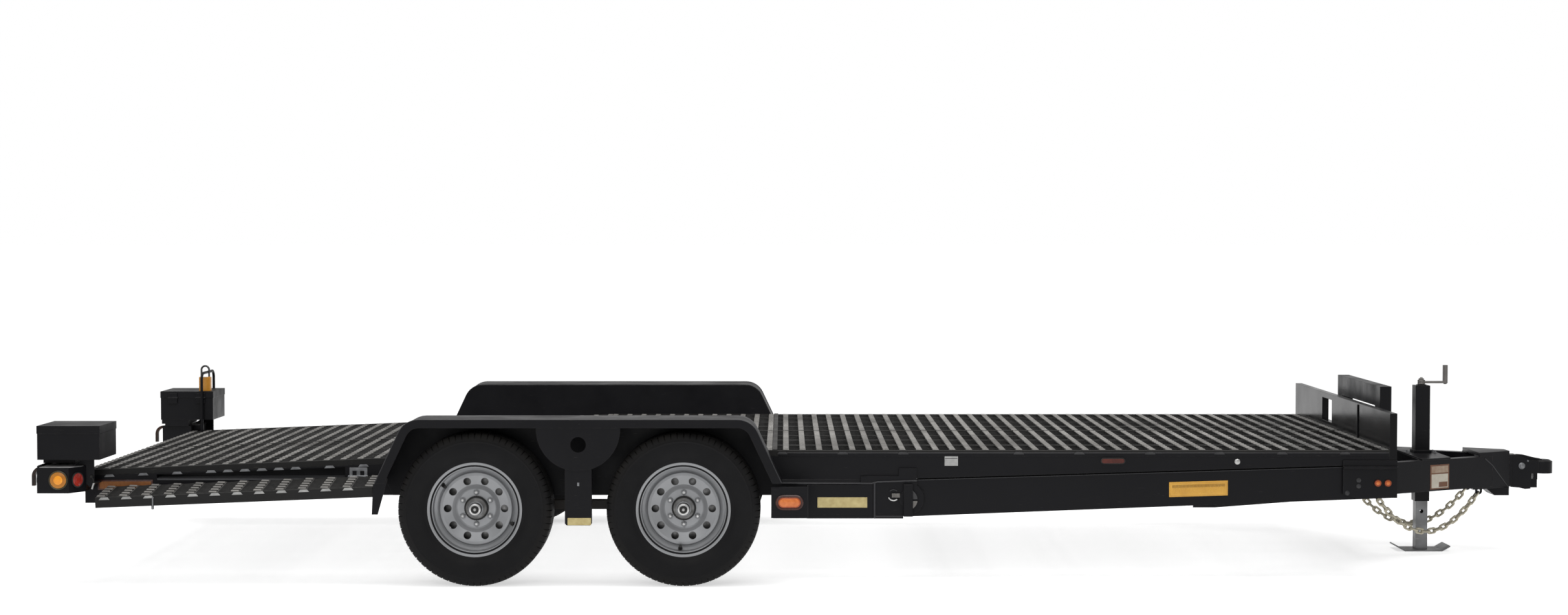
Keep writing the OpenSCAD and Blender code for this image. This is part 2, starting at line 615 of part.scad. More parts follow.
// Outline of a gusset plate that reaches back along the arms by length l
function head_plate(l) = let (x = arm_front - l) [
    [x, -arm_edge(x)], [arm_front, -arm_tip_y], [head_x1, -head_half],
    [head_x1, head_half], [arm_front, arm_tip_y], [x, arm_edge(x)]];
shoe_x = [4296, 4412];
shoe_half = 70;
shoe_h = 46;          // how far the shoe reaches down below the arms
module drawbar_head() color(black) {
    difference() {
        translate([0, 0, arm_z]) linear_extrude(arm_h) polygon([
            [arm_front, -arm_tip_y], [head_x1, -head_half], [head_x1, head_half], [arm_front, arm_tip_y]]);
        translate([0, 0, arm_z + head_wall]) linear_extrude(arm_h - 2 * head_wall) polygon([
            [arm_front - 1, head_wall - arm_tip_y], [head_x1 - head_wall, head_wall - head_half],
            [head_x1 - head_wall, head_half - head_wall], [arm_front - 1, arm_tip_y - head_wall]]);
    }
    translate([0, 0, arm_top]) linear_extrude(cover_t) polygon(head_plate(cover_l));
    translate([0, 0, arm_z - head_plate_t]) linear_extrude(head_plate_t) polygon(head_plate(110));
    across(-shoe_half, shoe_half) polygon([
        [shoe_x[0], arm_z - head_plate_t], [shoe_x[0] + shoe_h, arm_z - shoe_h],
        [shoe_x[1], arm_z - shoe_h], [shoe_x[1], arm_z - head_plate_t]]);
    lug(chain_points[links], chain_points[links - 1], arm_z - head_plate_t);
}

/* Coupler */
socket_r = 30;
socket_rise = 57;     // from the underside of the drawbar up to the mouth of the socket
socket_z = arm_z + socket_rise;
socket_depth = 45;
nose_r = 46;
nose_h = 58;
nose_cap = 8;
cheek_half = 36;      // half width of the coupler's body
cheek_x = head_x1 + 106;
cheek_top = 91;       // height of the body over the mouth of the socket
cheek_low = -74;
jaw_half = 20;
jaw_x = [cheek_x + 19, cheek_x + 38];
jaw_h = 31;
nose_x = head_x1 + coupler_l - nose_r;
module coupler() color("#1c1c1f") difference() {
    union() {
        block([head_x1, -head_half, arm_z], [head_x1 + 12, head_half, arm_top]);
        across(-cheek_half, cheek_half) translate([0, socket_z]) polygon([
            [head_x1 + 12, cheek_low + 8], [head_x1 + 50, cheek_low + 5], [head_x1 + 80, cheek_low - 2],
            [cheek_x, cheek_low], [cheek_x + 5, 0], [nose_x, 0], [nose_x, nose_h - 2],
            [cheek_x, nose_h + nose_cap], [head_x1 + 40, cheek_top], [head_x1 + 12, cheek_top]]);
        translate([nose_x, 0, socket_z]) cylinder(r = nose_r, h = nose_h);
        translate([nose_x, 0, socket_z + nose_h]) cylinder(r1 = nose_r, r2 = nose_r - 16, h = nose_cap);
        block([jaw_x[0], -jaw_half, socket_z - jaw_h], [jaw_x[1], jaw_half, socket_z]);
        block([cheek_x - 1, -jaw_half, socket_z + cheek_low + 4], [jaw_x[1] - 2, jaw_half, socket_z - jaw_h]);
    }
    translate([nose_x, 0, socket_z - 1]) cylinder(r = socket_r, h = socket_depth + 1);
}

/* Guard and jack */
guard_y = 450;
guard_rise = 359;     // from the arms up to the guard's top
guard_top = arm_top + guard_rise;
guard_x = [3693, 3747];
guard_post = 100;
guard_rail_h = 95;
module front_guard() color(black) {
    for (y = [-guard_y, guard_y - guard_post])
        block([guard_x[0], y, arm_top], [guard_x[1], y + guard_post, guard_top]);
    block([guard_x[0], 1 - guard_y, guard_top - guard_rail_h], [guard_x[1], guard_y - 1, guard_top]);
}
jack_hang = 78;       // how far the outer tube reaches down below the arms
jack_low = arm_z - jack_hang;
jack_play = 0.5;
mount_t = 8;
mount_half = 80;
mount_x = [jack_x - mount_half, jack_x + mount_half];
module jack_mount() color(black) difference() {
    translate([0, 0, arm_top]) linear_extrude(mount_t) polygon([
        for (s = [-1, 1], x = s < 0 ? mount_x : reverse(mount_x)) [x, s * arm_edge(x)]]);
    square_bar(jack_tube_w, arm_top - 1, arm_top + mount_t + 1);
}
module square_bar(w, z0, z1) translate([jack_x - w / 2, -w / 2, z0]) cube([w, w, z1 - z0]);
cap_t = 8;
crank_r = 8;
collar_w = 7;
collar_h = 14;
module jack_tube() color(black) difference() {
    union() {
        square_bar(jack_tube_w, jack_low, jack_top);
        square_bar(jack_tube_w + 2 * collar_w, arm_top + mount_t, arm_top + mount_t + collar_h);
    }
    square_bar(jack_leg_w + 2 * jack_play, jack_low - 1, jack_top - cap_t);
    translate([jack_x, 0, jack_top - cap_t - 1]) cylinder(r = crank_r + pin_clear, h = cap_t + 2);
}
foot_t = 6;
foot_w = 150;
foot_flat = 180;
foot_rise = 22;
leg_top = 560;
leg_wall = 4;
leg_hole_r = 9;
leg_hole_z = [90, 190];
module jack_leg() color("#8d8f92") difference() {
    square_bar(jack_leg_w, foot_t, leg_top);
    square_bar(jack_leg_w - 2 * leg_wall, foot_t - 1, leg_top + 1);
    for (z = leg_hole_z) pin(jack_x, z, leg_hole_r, -jack_leg_w, jack_leg_w);
}
module jack_foot() color("#2c2c2f") across(-foot_w / 2, foot_w / 2) translate([jack_x, 0]) polygon([
    [-foot_flat / 2, 0], [foot_flat / 2, 0], [foot_l / 2, foot_rise], [foot_l / 2 - 3, foot_rise + foot_t],
    [foot_flat / 2 - 1.5, foot_t], [1.5 - foot_flat / 2, foot_t], [3 - foot_l / 2, foot_rise + foot_t],
    [-foot_l / 2, foot_rise]]);
grip_r = 12;
grip_h = 88;
crank_gap = 6;
module jack_crank() color("#2c2c2f") translate([jack_x, 0, jack_top]) {
    translate([0, 0, -24]) cylinder(r = crank_r, h = 50);
    translate([0, 0, crank_gap]) cylinder(r = 17, h = 20);
    block([0, -12, 10], [crank_l, 12, 20]);
    translate([crank_l, 0, 10]) cylinder(r = grip_r, h = grip_h);
}

/* Chains, each hung in a vertical plane between two lugs */
link_w = wire_d * 1.6;            // inside width of a link
chain_play = 0.4;                 // play between linked wires
pitch = link_l - chain_play;
chain_a = [3720, 240, arm_z - 20];
chain_b = [4250, 104, arm_z - 28];
chain_turn = atan2(chain_b[1] - chain_a[1], chain_b[0] - chain_a[0]);
chain_span = norm([chain_b[0] - chain_a[0], chain_b[1] - chain_a[1]]);
chain_fall = chain_b[2] - chain_a[2];
// Point of the hanging curve at share t of the span, for sag s
function hang(t, s) = [chain_span * t, chain_fall * t - 4 * s * t * (1 - t)];
function hang_length(s, n = 60) = let (p = [for (i = [0 : n]) hang(i / n, s)])
    [for (i = [0 : n - 1]) norm(p[i + 1] - p[i])] * [for (i = [0 : n - 1]) 1];
// Sag at which the hanging curve has the length of the chain
function find_sag(low, high, n = 24) = let (s = (low + high) / 2)
    n == 0 ? s : hang_length(s) > links * pitch ? find_sag(low, s, n - 1) : find_sag(s, high, n - 1);
sag = find_sag(0, 500);
// Share of the span of the point one pitch beyond share t
function next_share(t, low, high, n = 30) = let (m = (low + high) / 2)
    n == 0 ? m : norm(hang(m, sag) - hang(t, sag)) > pitch
        ? next_share(t, low, m, n - 1) : next_share(t, m, high, n - 1);
function chain_shares(k, t) = k == 0 ? [t] : concat([t], chain_shares(k - 1, next_share(t, t, t + 0.2)));
chain_points = [for (t = chain_shares(links, 0)) hang(t, sag)];
lug_hole = 9;
lug_ring = 8;
lug_t = 8;
module half_link() {
    translate([link_l / 2 - link_w / 2, 0, 0]) rotate([0, 0, -90])
        rotate_extrude(angle = 180, $fn = 24) translate([(link_w + wire_d) / 2, 0]) circle(d = wire_d, $fn = 16);
    for (s = [-1, 1]) translate([0, s * (link_w + wire_d) / 2, 0]) rotate([0, 90, 0])
        cylinder(d = wire_d, h = link_l / 2 - link_w / 2, $fn = 16);
}
module chain_link() {
    half_link();
    mirror([1, 0, 0]) half_link();
}
module chain_plane() translate(chain_a) rotate([0, 0, chain_turn]) children();
module chain() color("#a39c84") chain_plane() for (i = [0 : links - 1]) {
    p = chain_points[i];
    q = chain_points[i + 1];
    translate([(p[0] + q[0]) / 2, 0, (p[1] + q[1]) / 2]) rotate([0, -atan2(q[1] - p[1], q[0] - p[0]), 0])
        rotate([i % 2 ? 90 : 0, 0, 0]) chain_link();
}
// The lug that holds the end p of a chain whose next point is q, below a seat at height up
module lug(p, q, up) {
    middle = p - unit(q - p) * (lug_hole - chain_play / 2);
    ring = lug_hole + lug_ring;
    for (s = [-1, 1]) mirror([0, s < 0 ? 1 : 0, 0]) chain_plane()
        translate([0, lug_t / 2, 0]) rotate([90, 0, 0]) linear_extrude(lug_t) difference() {
            union() {
                translate(middle) circle(r = ring);
                translate(middle - [ring, 0]) square([2 * ring, up - chain_a[2] - middle[1]]);
            }
            translate(middle) circle(r = lug_hole);
        }
}

side(false) main_rail();  // main_rail_near
side(true) main_rail();  // main_rail_far
side(false) deck_rail();  // deck_rail_near
side(true) deck_rail();  // deck_rail_far
placed() cross_members();
placed() rear_beam();
placed() front_stop();
side(false) deck_front();  // deck_front_near
side(true) deck_front();  // deck_front_far
side(false) deck_tail();  // deck_tail_near
side(true) deck_tail();  // deck_tail_far
side(false) side_wing();  // side_wing_near
side(true) side_wing();  // side_wing_far
side(false) fender();  // fender_near
side(true) fender();  // fender_far
both_sides() fender_back();  // fender_backs
both_sides() fender_brace();  // fender_braces
both_sides() side_lamp_bracket();  // side_lamp_brackets
both_sides() latch_plate();  // latch_plates
both_sides() pivot_bracket();  // pivot_brackets
both_sides() leaf_springs();
both_sides() spring_hanger();  // spring_hangers
placed() axles();
both_sides() lamp_box();  // lamp_boxes
both_sides() corner_box();  // corner_boxes
both_sides() rear_hook();  // rear_hooks
placed() lock_hoop();
placed() padlock();
both_sides() amber_lamp_set();  // amber_lamps
both_sides() red_lamp_set();  // red_lamps
side(false) tongue_rail();  // tongue_rail_near
side(true) tongue_rail();  // tongue_rail_far
placed() tongue_cross_members();
side(false) drawbar_arm();  // drawbar_arm_near
side(true) drawbar_arm();  // drawbar_arm_far
placed() drawbar_head();
placed() coupler();
placed() front_guard();
placed() jack_mount();
placed() jack_tube();
side(false) chain();  // chain_near
side(true) chain();  // chain_far
placed() jack_leg();
placed() jack_foot();
placed() jack_crank();
wheel(true, false) tyre();  // tyre_front_near
wheel(true, false) rim();  // rim_front_near
wheel(true, false) hub();  // hub_front_near
wheel(true, true) tyre();  // tyre_front_far
wheel(true, true) rim();  // rim_front_far
wheel(true, true) hub();  // hub_front_far
wheel(false, false) tyre();  // tyre_rear_near
wheel(false, false) rim();  // rim_rear_near
wheel(false, false) hub();  // hub_rear_near
wheel(false, true) tyre();  // tyre_rear_far
wheel(false, true) rim();  // rim_rear_far
wheel(false, true) hub();  // hub_rear_far
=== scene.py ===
"""Tandem-axle tilt-deck car trailer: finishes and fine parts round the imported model.

All sizes are in millimetres from the middle of the axles on the ground, with X to the
hitch, and turn into metres of the shared frame when a piece is put in the scene.
"""

import json
import logging
import math
import random
from collections.abc import Iterable, Sequence
from dataclasses import dataclass, field
from enum import Enum

import bmesh
import bpy
from mathutils import Matrix, Vector

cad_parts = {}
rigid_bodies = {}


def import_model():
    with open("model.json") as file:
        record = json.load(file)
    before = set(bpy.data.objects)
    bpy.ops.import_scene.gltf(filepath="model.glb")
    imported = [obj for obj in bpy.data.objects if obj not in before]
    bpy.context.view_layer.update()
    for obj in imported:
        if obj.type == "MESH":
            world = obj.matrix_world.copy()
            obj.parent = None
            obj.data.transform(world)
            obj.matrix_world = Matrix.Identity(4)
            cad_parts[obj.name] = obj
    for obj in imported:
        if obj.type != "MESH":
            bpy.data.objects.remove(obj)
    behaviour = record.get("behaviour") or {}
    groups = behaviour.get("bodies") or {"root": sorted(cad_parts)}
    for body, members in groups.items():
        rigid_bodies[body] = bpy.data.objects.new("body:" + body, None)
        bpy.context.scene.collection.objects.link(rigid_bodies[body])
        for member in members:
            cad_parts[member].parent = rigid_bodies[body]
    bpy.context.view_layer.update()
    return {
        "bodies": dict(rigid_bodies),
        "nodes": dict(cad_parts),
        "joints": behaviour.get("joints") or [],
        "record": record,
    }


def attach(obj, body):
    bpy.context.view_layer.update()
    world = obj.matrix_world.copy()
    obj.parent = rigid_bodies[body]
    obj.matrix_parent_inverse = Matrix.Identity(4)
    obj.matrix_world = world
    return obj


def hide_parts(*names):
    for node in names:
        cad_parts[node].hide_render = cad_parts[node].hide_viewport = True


LOG = logging.getLogger("trailer")
TAU = math.tau
MM = 0.001
WHITE = (1.0, 1.0, 1.0, 1.0)
OUT = (0, 1, 0)
UP = (0, 0, 1)
DOWN = (0, 0, -1)
AXLE_MIDPOINT = -1102.0
COAT_ROUGHNESS = 0.08
SETTLED_ROUGHNESS = 0.35

Point = tuple[float, float, float]
Rgb = tuple[float, float, float]
Socket = bpy.types.NodeSocket


class Body(Enum):
    """The moving bodies that pieces ride on."""

    CHASSIS = "chassis"
    TONGUE = "tongue"
    JACK_LEG = "jack_leg"
    JACK_CRANK = "jack_crank"


class Slot(Enum):
    """The record's material slots."""

    FRAME = "frame_paint"
    DECK = "deck_steel"
    RUBBER = "tyre_rubber"
    RIM = "rim_paint"
    HUB = "hub_steel"
    ZINC = "zinc"
    AMBER = "amber_lens"
    RED = "red_lens"
    CHAIN = "chain_steel"


def grey(level: float) -> Rgb:
    """A colour without any tint."""
    return (level, level, level)


def aim(centre: Sequence[float], axis: Sequence[float] = UP) -> Matrix:
    """A matrix that stands a shape's own Z along axis, with its origin at centre."""
    turn = Vector(axis).to_track_quat("Z", "Y").to_matrix().to_4x4()
    return Matrix.Translation(centre) @ turn


def stadium(width: float, height: float, steps: int = 10) -> list[tuple[float, float]]:
    """The outline of a bar with round ends, about its middle."""
    radius, reach = height / 2, (width - height) / 2
    ring = []
    for side in (1, -1):
        for i in range(steps + 1):
            turn = (i / steps - 0.5) * math.pi
            ring.append((side * (reach + radius * math.cos(turn)), side * radius * math.sin(turn)))
    return ring


@dataclass
class Shape:
    """Points and faces gathered for one piece."""

    points: list[Point] = field(default_factory=list)
    faces: list[tuple[int, ...]] = field(default_factory=list)
    skins: list[int] = field(default_factory=list)

    def add(self, points: Iterable[Sequence[float]], faces: Iterable[Sequence[int]], skin: int = 0,
            move: Matrix | None = None) -> None:
        """Adds points and the faces between them.

        Args:
            points: Corners of the faces.
            faces: Indexes into those points.
            skin: Which of the piece's finishes the faces take.
            move: Where the points go, if they are written about their own origin.
        """
        base = len(self.points)
        for point in points:
            self.points.append(tuple(move @ Vector(point)) if move else tuple(point))
        for face in faces:
            self.faces.append(tuple(base + i for i in face))
            self.skins.append(skin)

    def loft(self, rings: Sequence[Sequence[Point]], skin: int = 0, looped: bool = False,
             move: Matrix | None = None) -> None:
        """Joins rings of equal count into a skin, closed by flat ends unless it is looped."""
        count = len(rings[0])
        faces = []
        spans = len(rings) if looped else len(rings) - 1
        for k in range(spans):
            low, high = k * count, (k + 1) % len(rings) * count
            for i in range(count):
                j = (i + 1) % count
                faces.append((low + i, low + j, high + j, high + i))
        if not looped:
            last = (len(rings) - 1) * count
            faces.append(tuple(range(count))[::-1])
            faces.append(tuple(range(last, last + count)))
        self.add([p for ring in rings for p in ring], faces, skin, move)

    def turned(self, profile: Sequence[tuple[float, float]], centre: Sequence[float],
               axis: Sequence[float] = UP, sides: int = 28, skin: int = 0, turn: float = 0.0) -> None:
        """Adds a turned solid from (radius, height) pairs along an axis from centre."""
        turns = [turn + TAU * i / sides for i in range(sides)]
        spots = [(math.cos(angle), math.sin(angle)) for angle in turns]
        rings = [[(r * c, r * s, h) for c, s in spots] for r, h in profile]
        self.loft(rings, skin, move=aim(centre, axis))

    def block(self, low: Sequence[float], high: Sequence[float], cut: float = 1.0, skin: int = 0,
              move: Matrix | None = None) -> None:
        """Adds a block between two corners, with every edge cut off at 45 degrees."""
        cut = min([cut] + [0.4 * (b - a) for a, b in zip(low, high)])
        corners = [(a, b, c) for a in (0, 1) for b in (0, 1) for c in (0, 1)]
        points, spot = [], {}
        for corner in corners:
            for axis in range(3):
                spot[corner, axis] = len(points)
                points.append(tuple(
                    (high[k] if corner[k] else low[k]) + (0 if k == axis else cut - 2 * cut * corner[k])
                    for k in range(3)))
        faces = [tuple(spot[corner, k] for k in range(3)) for corner in corners]
        for axis in range(3):
            u, v = (axis + 1) % 3, (axis + 2) % 3
            for side in (0, 1):
                ring = []
                for a, b in ((0, 0), (1, 0), (1, 1), (0, 1)):
                    corner = [side, side, side]
                    corner[u], corner[v] = a, b
                    ring.append(spot[tuple(corner), axis])
                faces.append(tuple(ring))
            for a in (0, 1):
                for b in (0, 1):
                    start, end = [0, 0, 0], [1, 1, 1]
                    start[u] = end[u] = a
                    start[v] = end[v] = b
                    one, two = tuple(start), tuple(end)
                    faces.append((spot[one, u], spot[one, v], spot[two, v], spot[two, u]))
        self.add(points, faces, skin, move)

    def plate(self, outline: Sequence[tuple[float, float]], low: float, high: float, axis: int = 1,
              cut: float = 0.6, skin: int = 0, move: Matrix | None = None) -> None:
        """Adds a flat plate from an outline, pushed along an axis, with its rims cut back.

        Args:
            outline: Points in the plane of the other two axes, in the order x, y, z.
            low: Where the plate starts along the axis.
            high: Where it ends.
            axis: 0, 1 or 2 for x, y or z.
            cut: How far the rims are cut back.
            skin: Which finish it takes.
            move: Where the plate goes, if it is written about its own origin.
        """
        middle = [sum(p[k] for p in outline) / len(outline) for k in (0, 1)]
        reach = sum(math.dist(p, middle) for p in outline) / len(outline)
        small = 1 - min(0.5, cut / reach)
        rings = []
        for scale, height in ((small, low), (1, low + cut), (1, high - cut), (small, high)):
            ring = []
            for p in outline:
                flat = [middle[k] + (p[k] - middle[k]) * scale for k in (0, 1)]
                flat.insert(axis, height)
                ring.append(tuple(flat))
            rings.append(ring)
        self.loft(rings, skin, move=move)

    def pipe(self, path: Sequence[Sequence[float]], radius: float, sides: int = 8, skin: int = 0) -> None:
        """Adds a round bar along a path."""
        spots = [Vector(p) for p in path]
        ahead = [(b - a).normalized() for a, b in zip(spots, spots[1:])]
        ahead.append(ahead[-1])
        side = ahead[0].orthogonal().normalized()
        rings = []
        for i, spot in enumerate(spots):
            along = (ahead[max(0, i - 1)] + ahead[i]).normalized()
            side = (side - along * side.dot(along)).normalized()
            up = along.cross(side)
            rings.append([
                tuple(spot + radius * (side * math.cos(TAU * k / sides) + up * math.sin(TAU * k / sides)))
                for k in range(sides)])
        self.loft(rings, skin)

    def bolt(self, centre: Sequence[float], axis: Sequence[float], across: float, skin: int = 0) -> None:
        """Adds a washer, a hexagon head of that width across its flats, and the shank's end."""
        a = across
        washer = [(0.92 * a, 0), (0.95 * a, 0.04 * a), (0.95 * a, 0.1 * a), (0.9 * a, 0.14 * a)]
        head = [(0.57 * a, 0.12 * a), (0.577 * a, 0.2 * a), (0.577 * a, 0.58 * a), (0.48 * a, 0.68 * a)]
        shank = [(0.27 * a, 0.66 * a), (0.27 * a, 0.86 * a), (0.21 * a, 0.92 * a)]
        for profile, sides, turn in ((washer, 20, 0.0), (head, 6, 0.3), (shank, 12, 0.0)):
            self.turned(profile, centre, axis, sides, skin, turn)

    def both(self) -> "Shape":
        """Adds the mirror image of everything on the trailer's other side."""
        base = len(self.points)
        self.points += [(x, -y, z) for x, y, z in self.points]
        self.faces += [tuple(base + i for i in face[::-1]) for face in self.faces]
        self.skins += self.skins
        return self


def put(name: str, shape: Shape, body: str | Body, finishes: Sequence[bpy.types.Material],
        angle: float = 35.0) -> bpy.types.Object:
    """Turns a shape into a piece of the scene that rides on a body.

    Args:
        name: The piece's name.
        shape: Its points and faces.
        body: The body it rides on.
        finishes: Its materials, in the order that the shape's skins count.
        angle: Edges sharper than this, in degrees, stay crisp.

    Returns:
        The new object.
    """
    mesh = bpy.data.meshes.new(name)
    spots = [((x + AXLE_MIDPOINT) * MM, y * MM, z * MM) for x, y, z in shape.points]
    mesh.from_pydata(spots, [], shape.faces)
    for finish in finishes:
        mesh.materials.append(finish)
    mesh.polygons.foreach_set("material_index", shape.skins)
    work = bmesh.new()
    work.from_mesh(mesh)
    bmesh.ops.recalc_face_normals(work, faces=work.faces)
    work.to_mesh(mesh)
    work.free()
    mesh.polygons.foreach_set("use_smooth", [True] * len(mesh.polygons))
    mesh.set_sharp_from_angle(angle=math.radians(angle))
    piece = bpy.data.objects.new(name, mesh)
    bpy.context.scene.collection.objects.link(piece)
    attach(piece, body.value if isinstance(body, Body) else body)
    LOG.info("%s: %d faces", name, len(mesh.polygons))
    return piece


class Sketch:
    """A node tree, and short words that fill it."""

    def __init__(self, tree: bpy.types.NodeTree) -> None:
        """Starts on an empty tree."""
        self.tree = tree

    def node(self, kind: str, inputs: dict | None = None, **settings: object) -> bpy.types.Node:
        """Adds a node, sets it, and fills or joins its inputs."""
        made = self.tree.nodes.new(kind)
        for key, value in settings.items():
            setattr(made, key, value)
        for key, value in (inputs or {}).items():
            if isinstance(value, Socket):
                self.tree.links.new(value, made.inputs[key])
            else:
                made.inputs[key].default_value = value
        return made

    def link(self, value: Socket, node: bpy.types.Node, label: str) -> None:
        """Joins a value to a node's input."""
        self.tree.links.new(value, node.inputs[label])

    def sum(self, kind: str, a: float | Socket, b: float | Socket = 0.0) -> Socket:
        """The result of one Math node, kept between 0 and 1."""
        return self.node("ShaderNodeMath", {0: a, 1: b}, operation=kind, use_clamp=True).outputs[0]

    def plain(self, kind: str, a: Socket, b: float = 0.0) -> Socket:
        """The result of one Math node, of any size."""
        return self.node("ShaderNodeMath", {0: a, 1: b}, operation=kind).outputs[0]

    def vector(self, kind: str, a: Socket, b: Socket | Point = (0.0, 0.0, 0.0)) -> bpy.types.Node:
        """One Vector Math node."""
        return self.node("ShaderNodeVectorMath", {0: a, 1: b}, operation=kind)

    def span(self, value: Socket, low: float, high: float, first: float = 0.0, last: float = 1.0) -> Socket:
        """Value spread from low..high to first..last, and held there outside it."""
        inputs = {"Value": value, "From Min": low, "From Max": high, "To Min": first, "To Max": last}
        return self.node("ShaderNodeMapRange", inputs).outputs["Result"]

    def blend(self, share: float | Socket, a: Rgb | Socket, b: Rgb | Socket) -> Socket:
        """Colour a going over to colour b."""
        first, second = (c if isinstance(c, Socket) else (*c, 1) for c in (a, b))
        return self.node("ShaderNodeMix", {0: share, 6: first, 7: second}, data_type="RGBA").outputs[2]

    def place(self) -> Socket:
        """The point on the piece, in its own metres."""
        return self.node("ShaderNodeTexCoord").outputs["Object"]

    def noise(self, where: Socket, scale: float | Socket, detail: float = 4.0,
              rough: float = 0.55) -> Socket:
        """Soft random patches of a size."""
        inputs = {"Vector": where, "Scale": scale, "Detail": detail, "Roughness": rough}
        return self.node("ShaderNodeTexNoise", inputs).outputs[0]


class Effects:
    """The shared node groups: worn edges, mottling, settled dust and scuffs."""

    def __init__(self) -> None:
        """Builds each group once."""
        self.edges = self.worn_edges()
        self.patches = self.mottling()
        self.dust = self.settled_dust()
        self.scuffs = self.scuffing()

    def start(self, name: str, inputs: dict[str, float],
              outputs: dict[str, str]) -> tuple[Sketch, bpy.types.Node, bpy.types.Node]:
        """A new group with its named sockets, and its entry and exit nodes."""
        tree = bpy.data.node_groups.new(name, "ShaderNodeTree")
        for label, value in inputs.items():
            socket = tree.interface.new_socket(label, in_out="INPUT", socket_type="NodeSocketFloat")
            socket.default_value = value
        for label, kind in outputs.items():
            tree.interface.new_socket(label, in_out="OUTPUT", socket_type=kind)
        return Sketch(tree), tree.nodes.new("NodeGroupInput"), tree.nodes.new("NodeGroupOutput")

    def worn_edges(self) -> bpy.types.NodeTree:
        """Rounds the look of sharp edges, and marks where paint has gone from them."""
        sketch, entry, leave = self.start(
            "worn_edges", {"Radius": 0.003, "Amount": 0.3, "Scale": 40.0},
            {"Mask": "NodeSocketFloat", "Normal": "NodeSocketVector"})
        soft = sketch.node("ShaderNodeBevel", {"Radius": entry.outputs["Radius"]}, samples=4).outputs[0]
        flat = sketch.node("ShaderNodeNewGeometry").outputs["Normal"]
        turn = sketch.vector("DOT_PRODUCT", soft, flat).outputs["Value"]
        broken = sketch.span(sketch.noise(sketch.place(), entry.outputs["Scale"], 6.0, 0.7), 0.42, 0.62)
        mask = sketch.sum("MULTIPLY", sketch.span(turn, 0.985, 0.86), broken)
        mask = sketch.sum("MULTIPLY", mask, entry.outputs["Amount"])
        sketch.link(mask, leave, "Mask")
        sketch.link(soft, leave, "Normal")
        return sketch.tree

    def mottling(self) -> bpy.types.NodeTree:
        """Broad patches and fine grain."""
        sketch, entry, leave = self.start(
            "mottling", {"Scale": 6.0, "Grain": 250.0, "Stretch": 1.0},
            {"Broad": "NodeSocketFloat", "Fine": "NodeSocketFloat"})
        scales = {0: entry.outputs["Stretch"], 1: 1.0, 2: 1.0}
        stretch = sketch.node("ShaderNodeCombineXYZ", scales).outputs[0]
        where = sketch.vector("MULTIPLY", sketch.place(), stretch).outputs[0]
        broad = sketch.span(sketch.noise(where, entry.outputs["Scale"], 5.0), 0.3, 0.7)
        fine = sketch.noise(where, entry.outputs["Grain"], 3.0, 0.6)
        sketch.link(broad, leave, "Broad")
        sketch.link(fine, leave, "Fine")
        return sketch.tree

    def settled_dust(self) -> bpy.types.NodeTree:
        """Dust that lies on what faces up, in drifts."""
        sketch, entry, leave = self.start(
            "settled_dust", {"Amount": 0.2, "Scale": 12.0}, {"Mask": "NodeSocketFloat"})
        flat = sketch.node("ShaderNodeNewGeometry").outputs["Normal"]
        height = sketch.node("ShaderNodeSeparateXYZ", {0: flat}).outputs[2]
        drift = sketch.noise(sketch.place(), entry.outputs["Scale"], 6.0, 0.65)
        drift = sketch.span(drift, 0.3, 0.75, 0.25, 1.0)
        mask = sketch.sum("MULTIPLY", sketch.span(height, 0.2, 0.95, 0.12, 1.0), drift)
        mask = sketch.sum("MULTIPLY", mask, entry.outputs["Amount"])
        sketch.link(mask, leave, "Mask")
        return sketch.tree

    def scuffing(self) -> bpy.types.NodeTree:
        """Thin scratches and rubbed spots."""
        sketch, entry, leave = self.start(
            "scuffing", {"Amount": 0.2, "Scale": 14.0}, {"Mask": "NodeSocketFloat"})
        where = sketch.node("ShaderNodeMapping", {"Vector": sketch.place(), "Rotation": (0.3, 0.5, 0.2),
                                                  "Scale": (1.0, 14.0, 9.0)}).outputs[0]
        lines = sketch.span(sketch.noise(where, entry.outputs["Scale"], 2.0, 0.8), 0.66, 0.72)
        area = sketch.span(sketch.noise(sketch.place(), 3.0, 3.0), 0.48, 0.6)
        mask = sketch.sum("MULTIPLY", sketch.sum("MULTIPLY", lines, area), entry.outputs["Amount"])
        sketch.link(mask, leave, "Mask")
        return sketch.tree


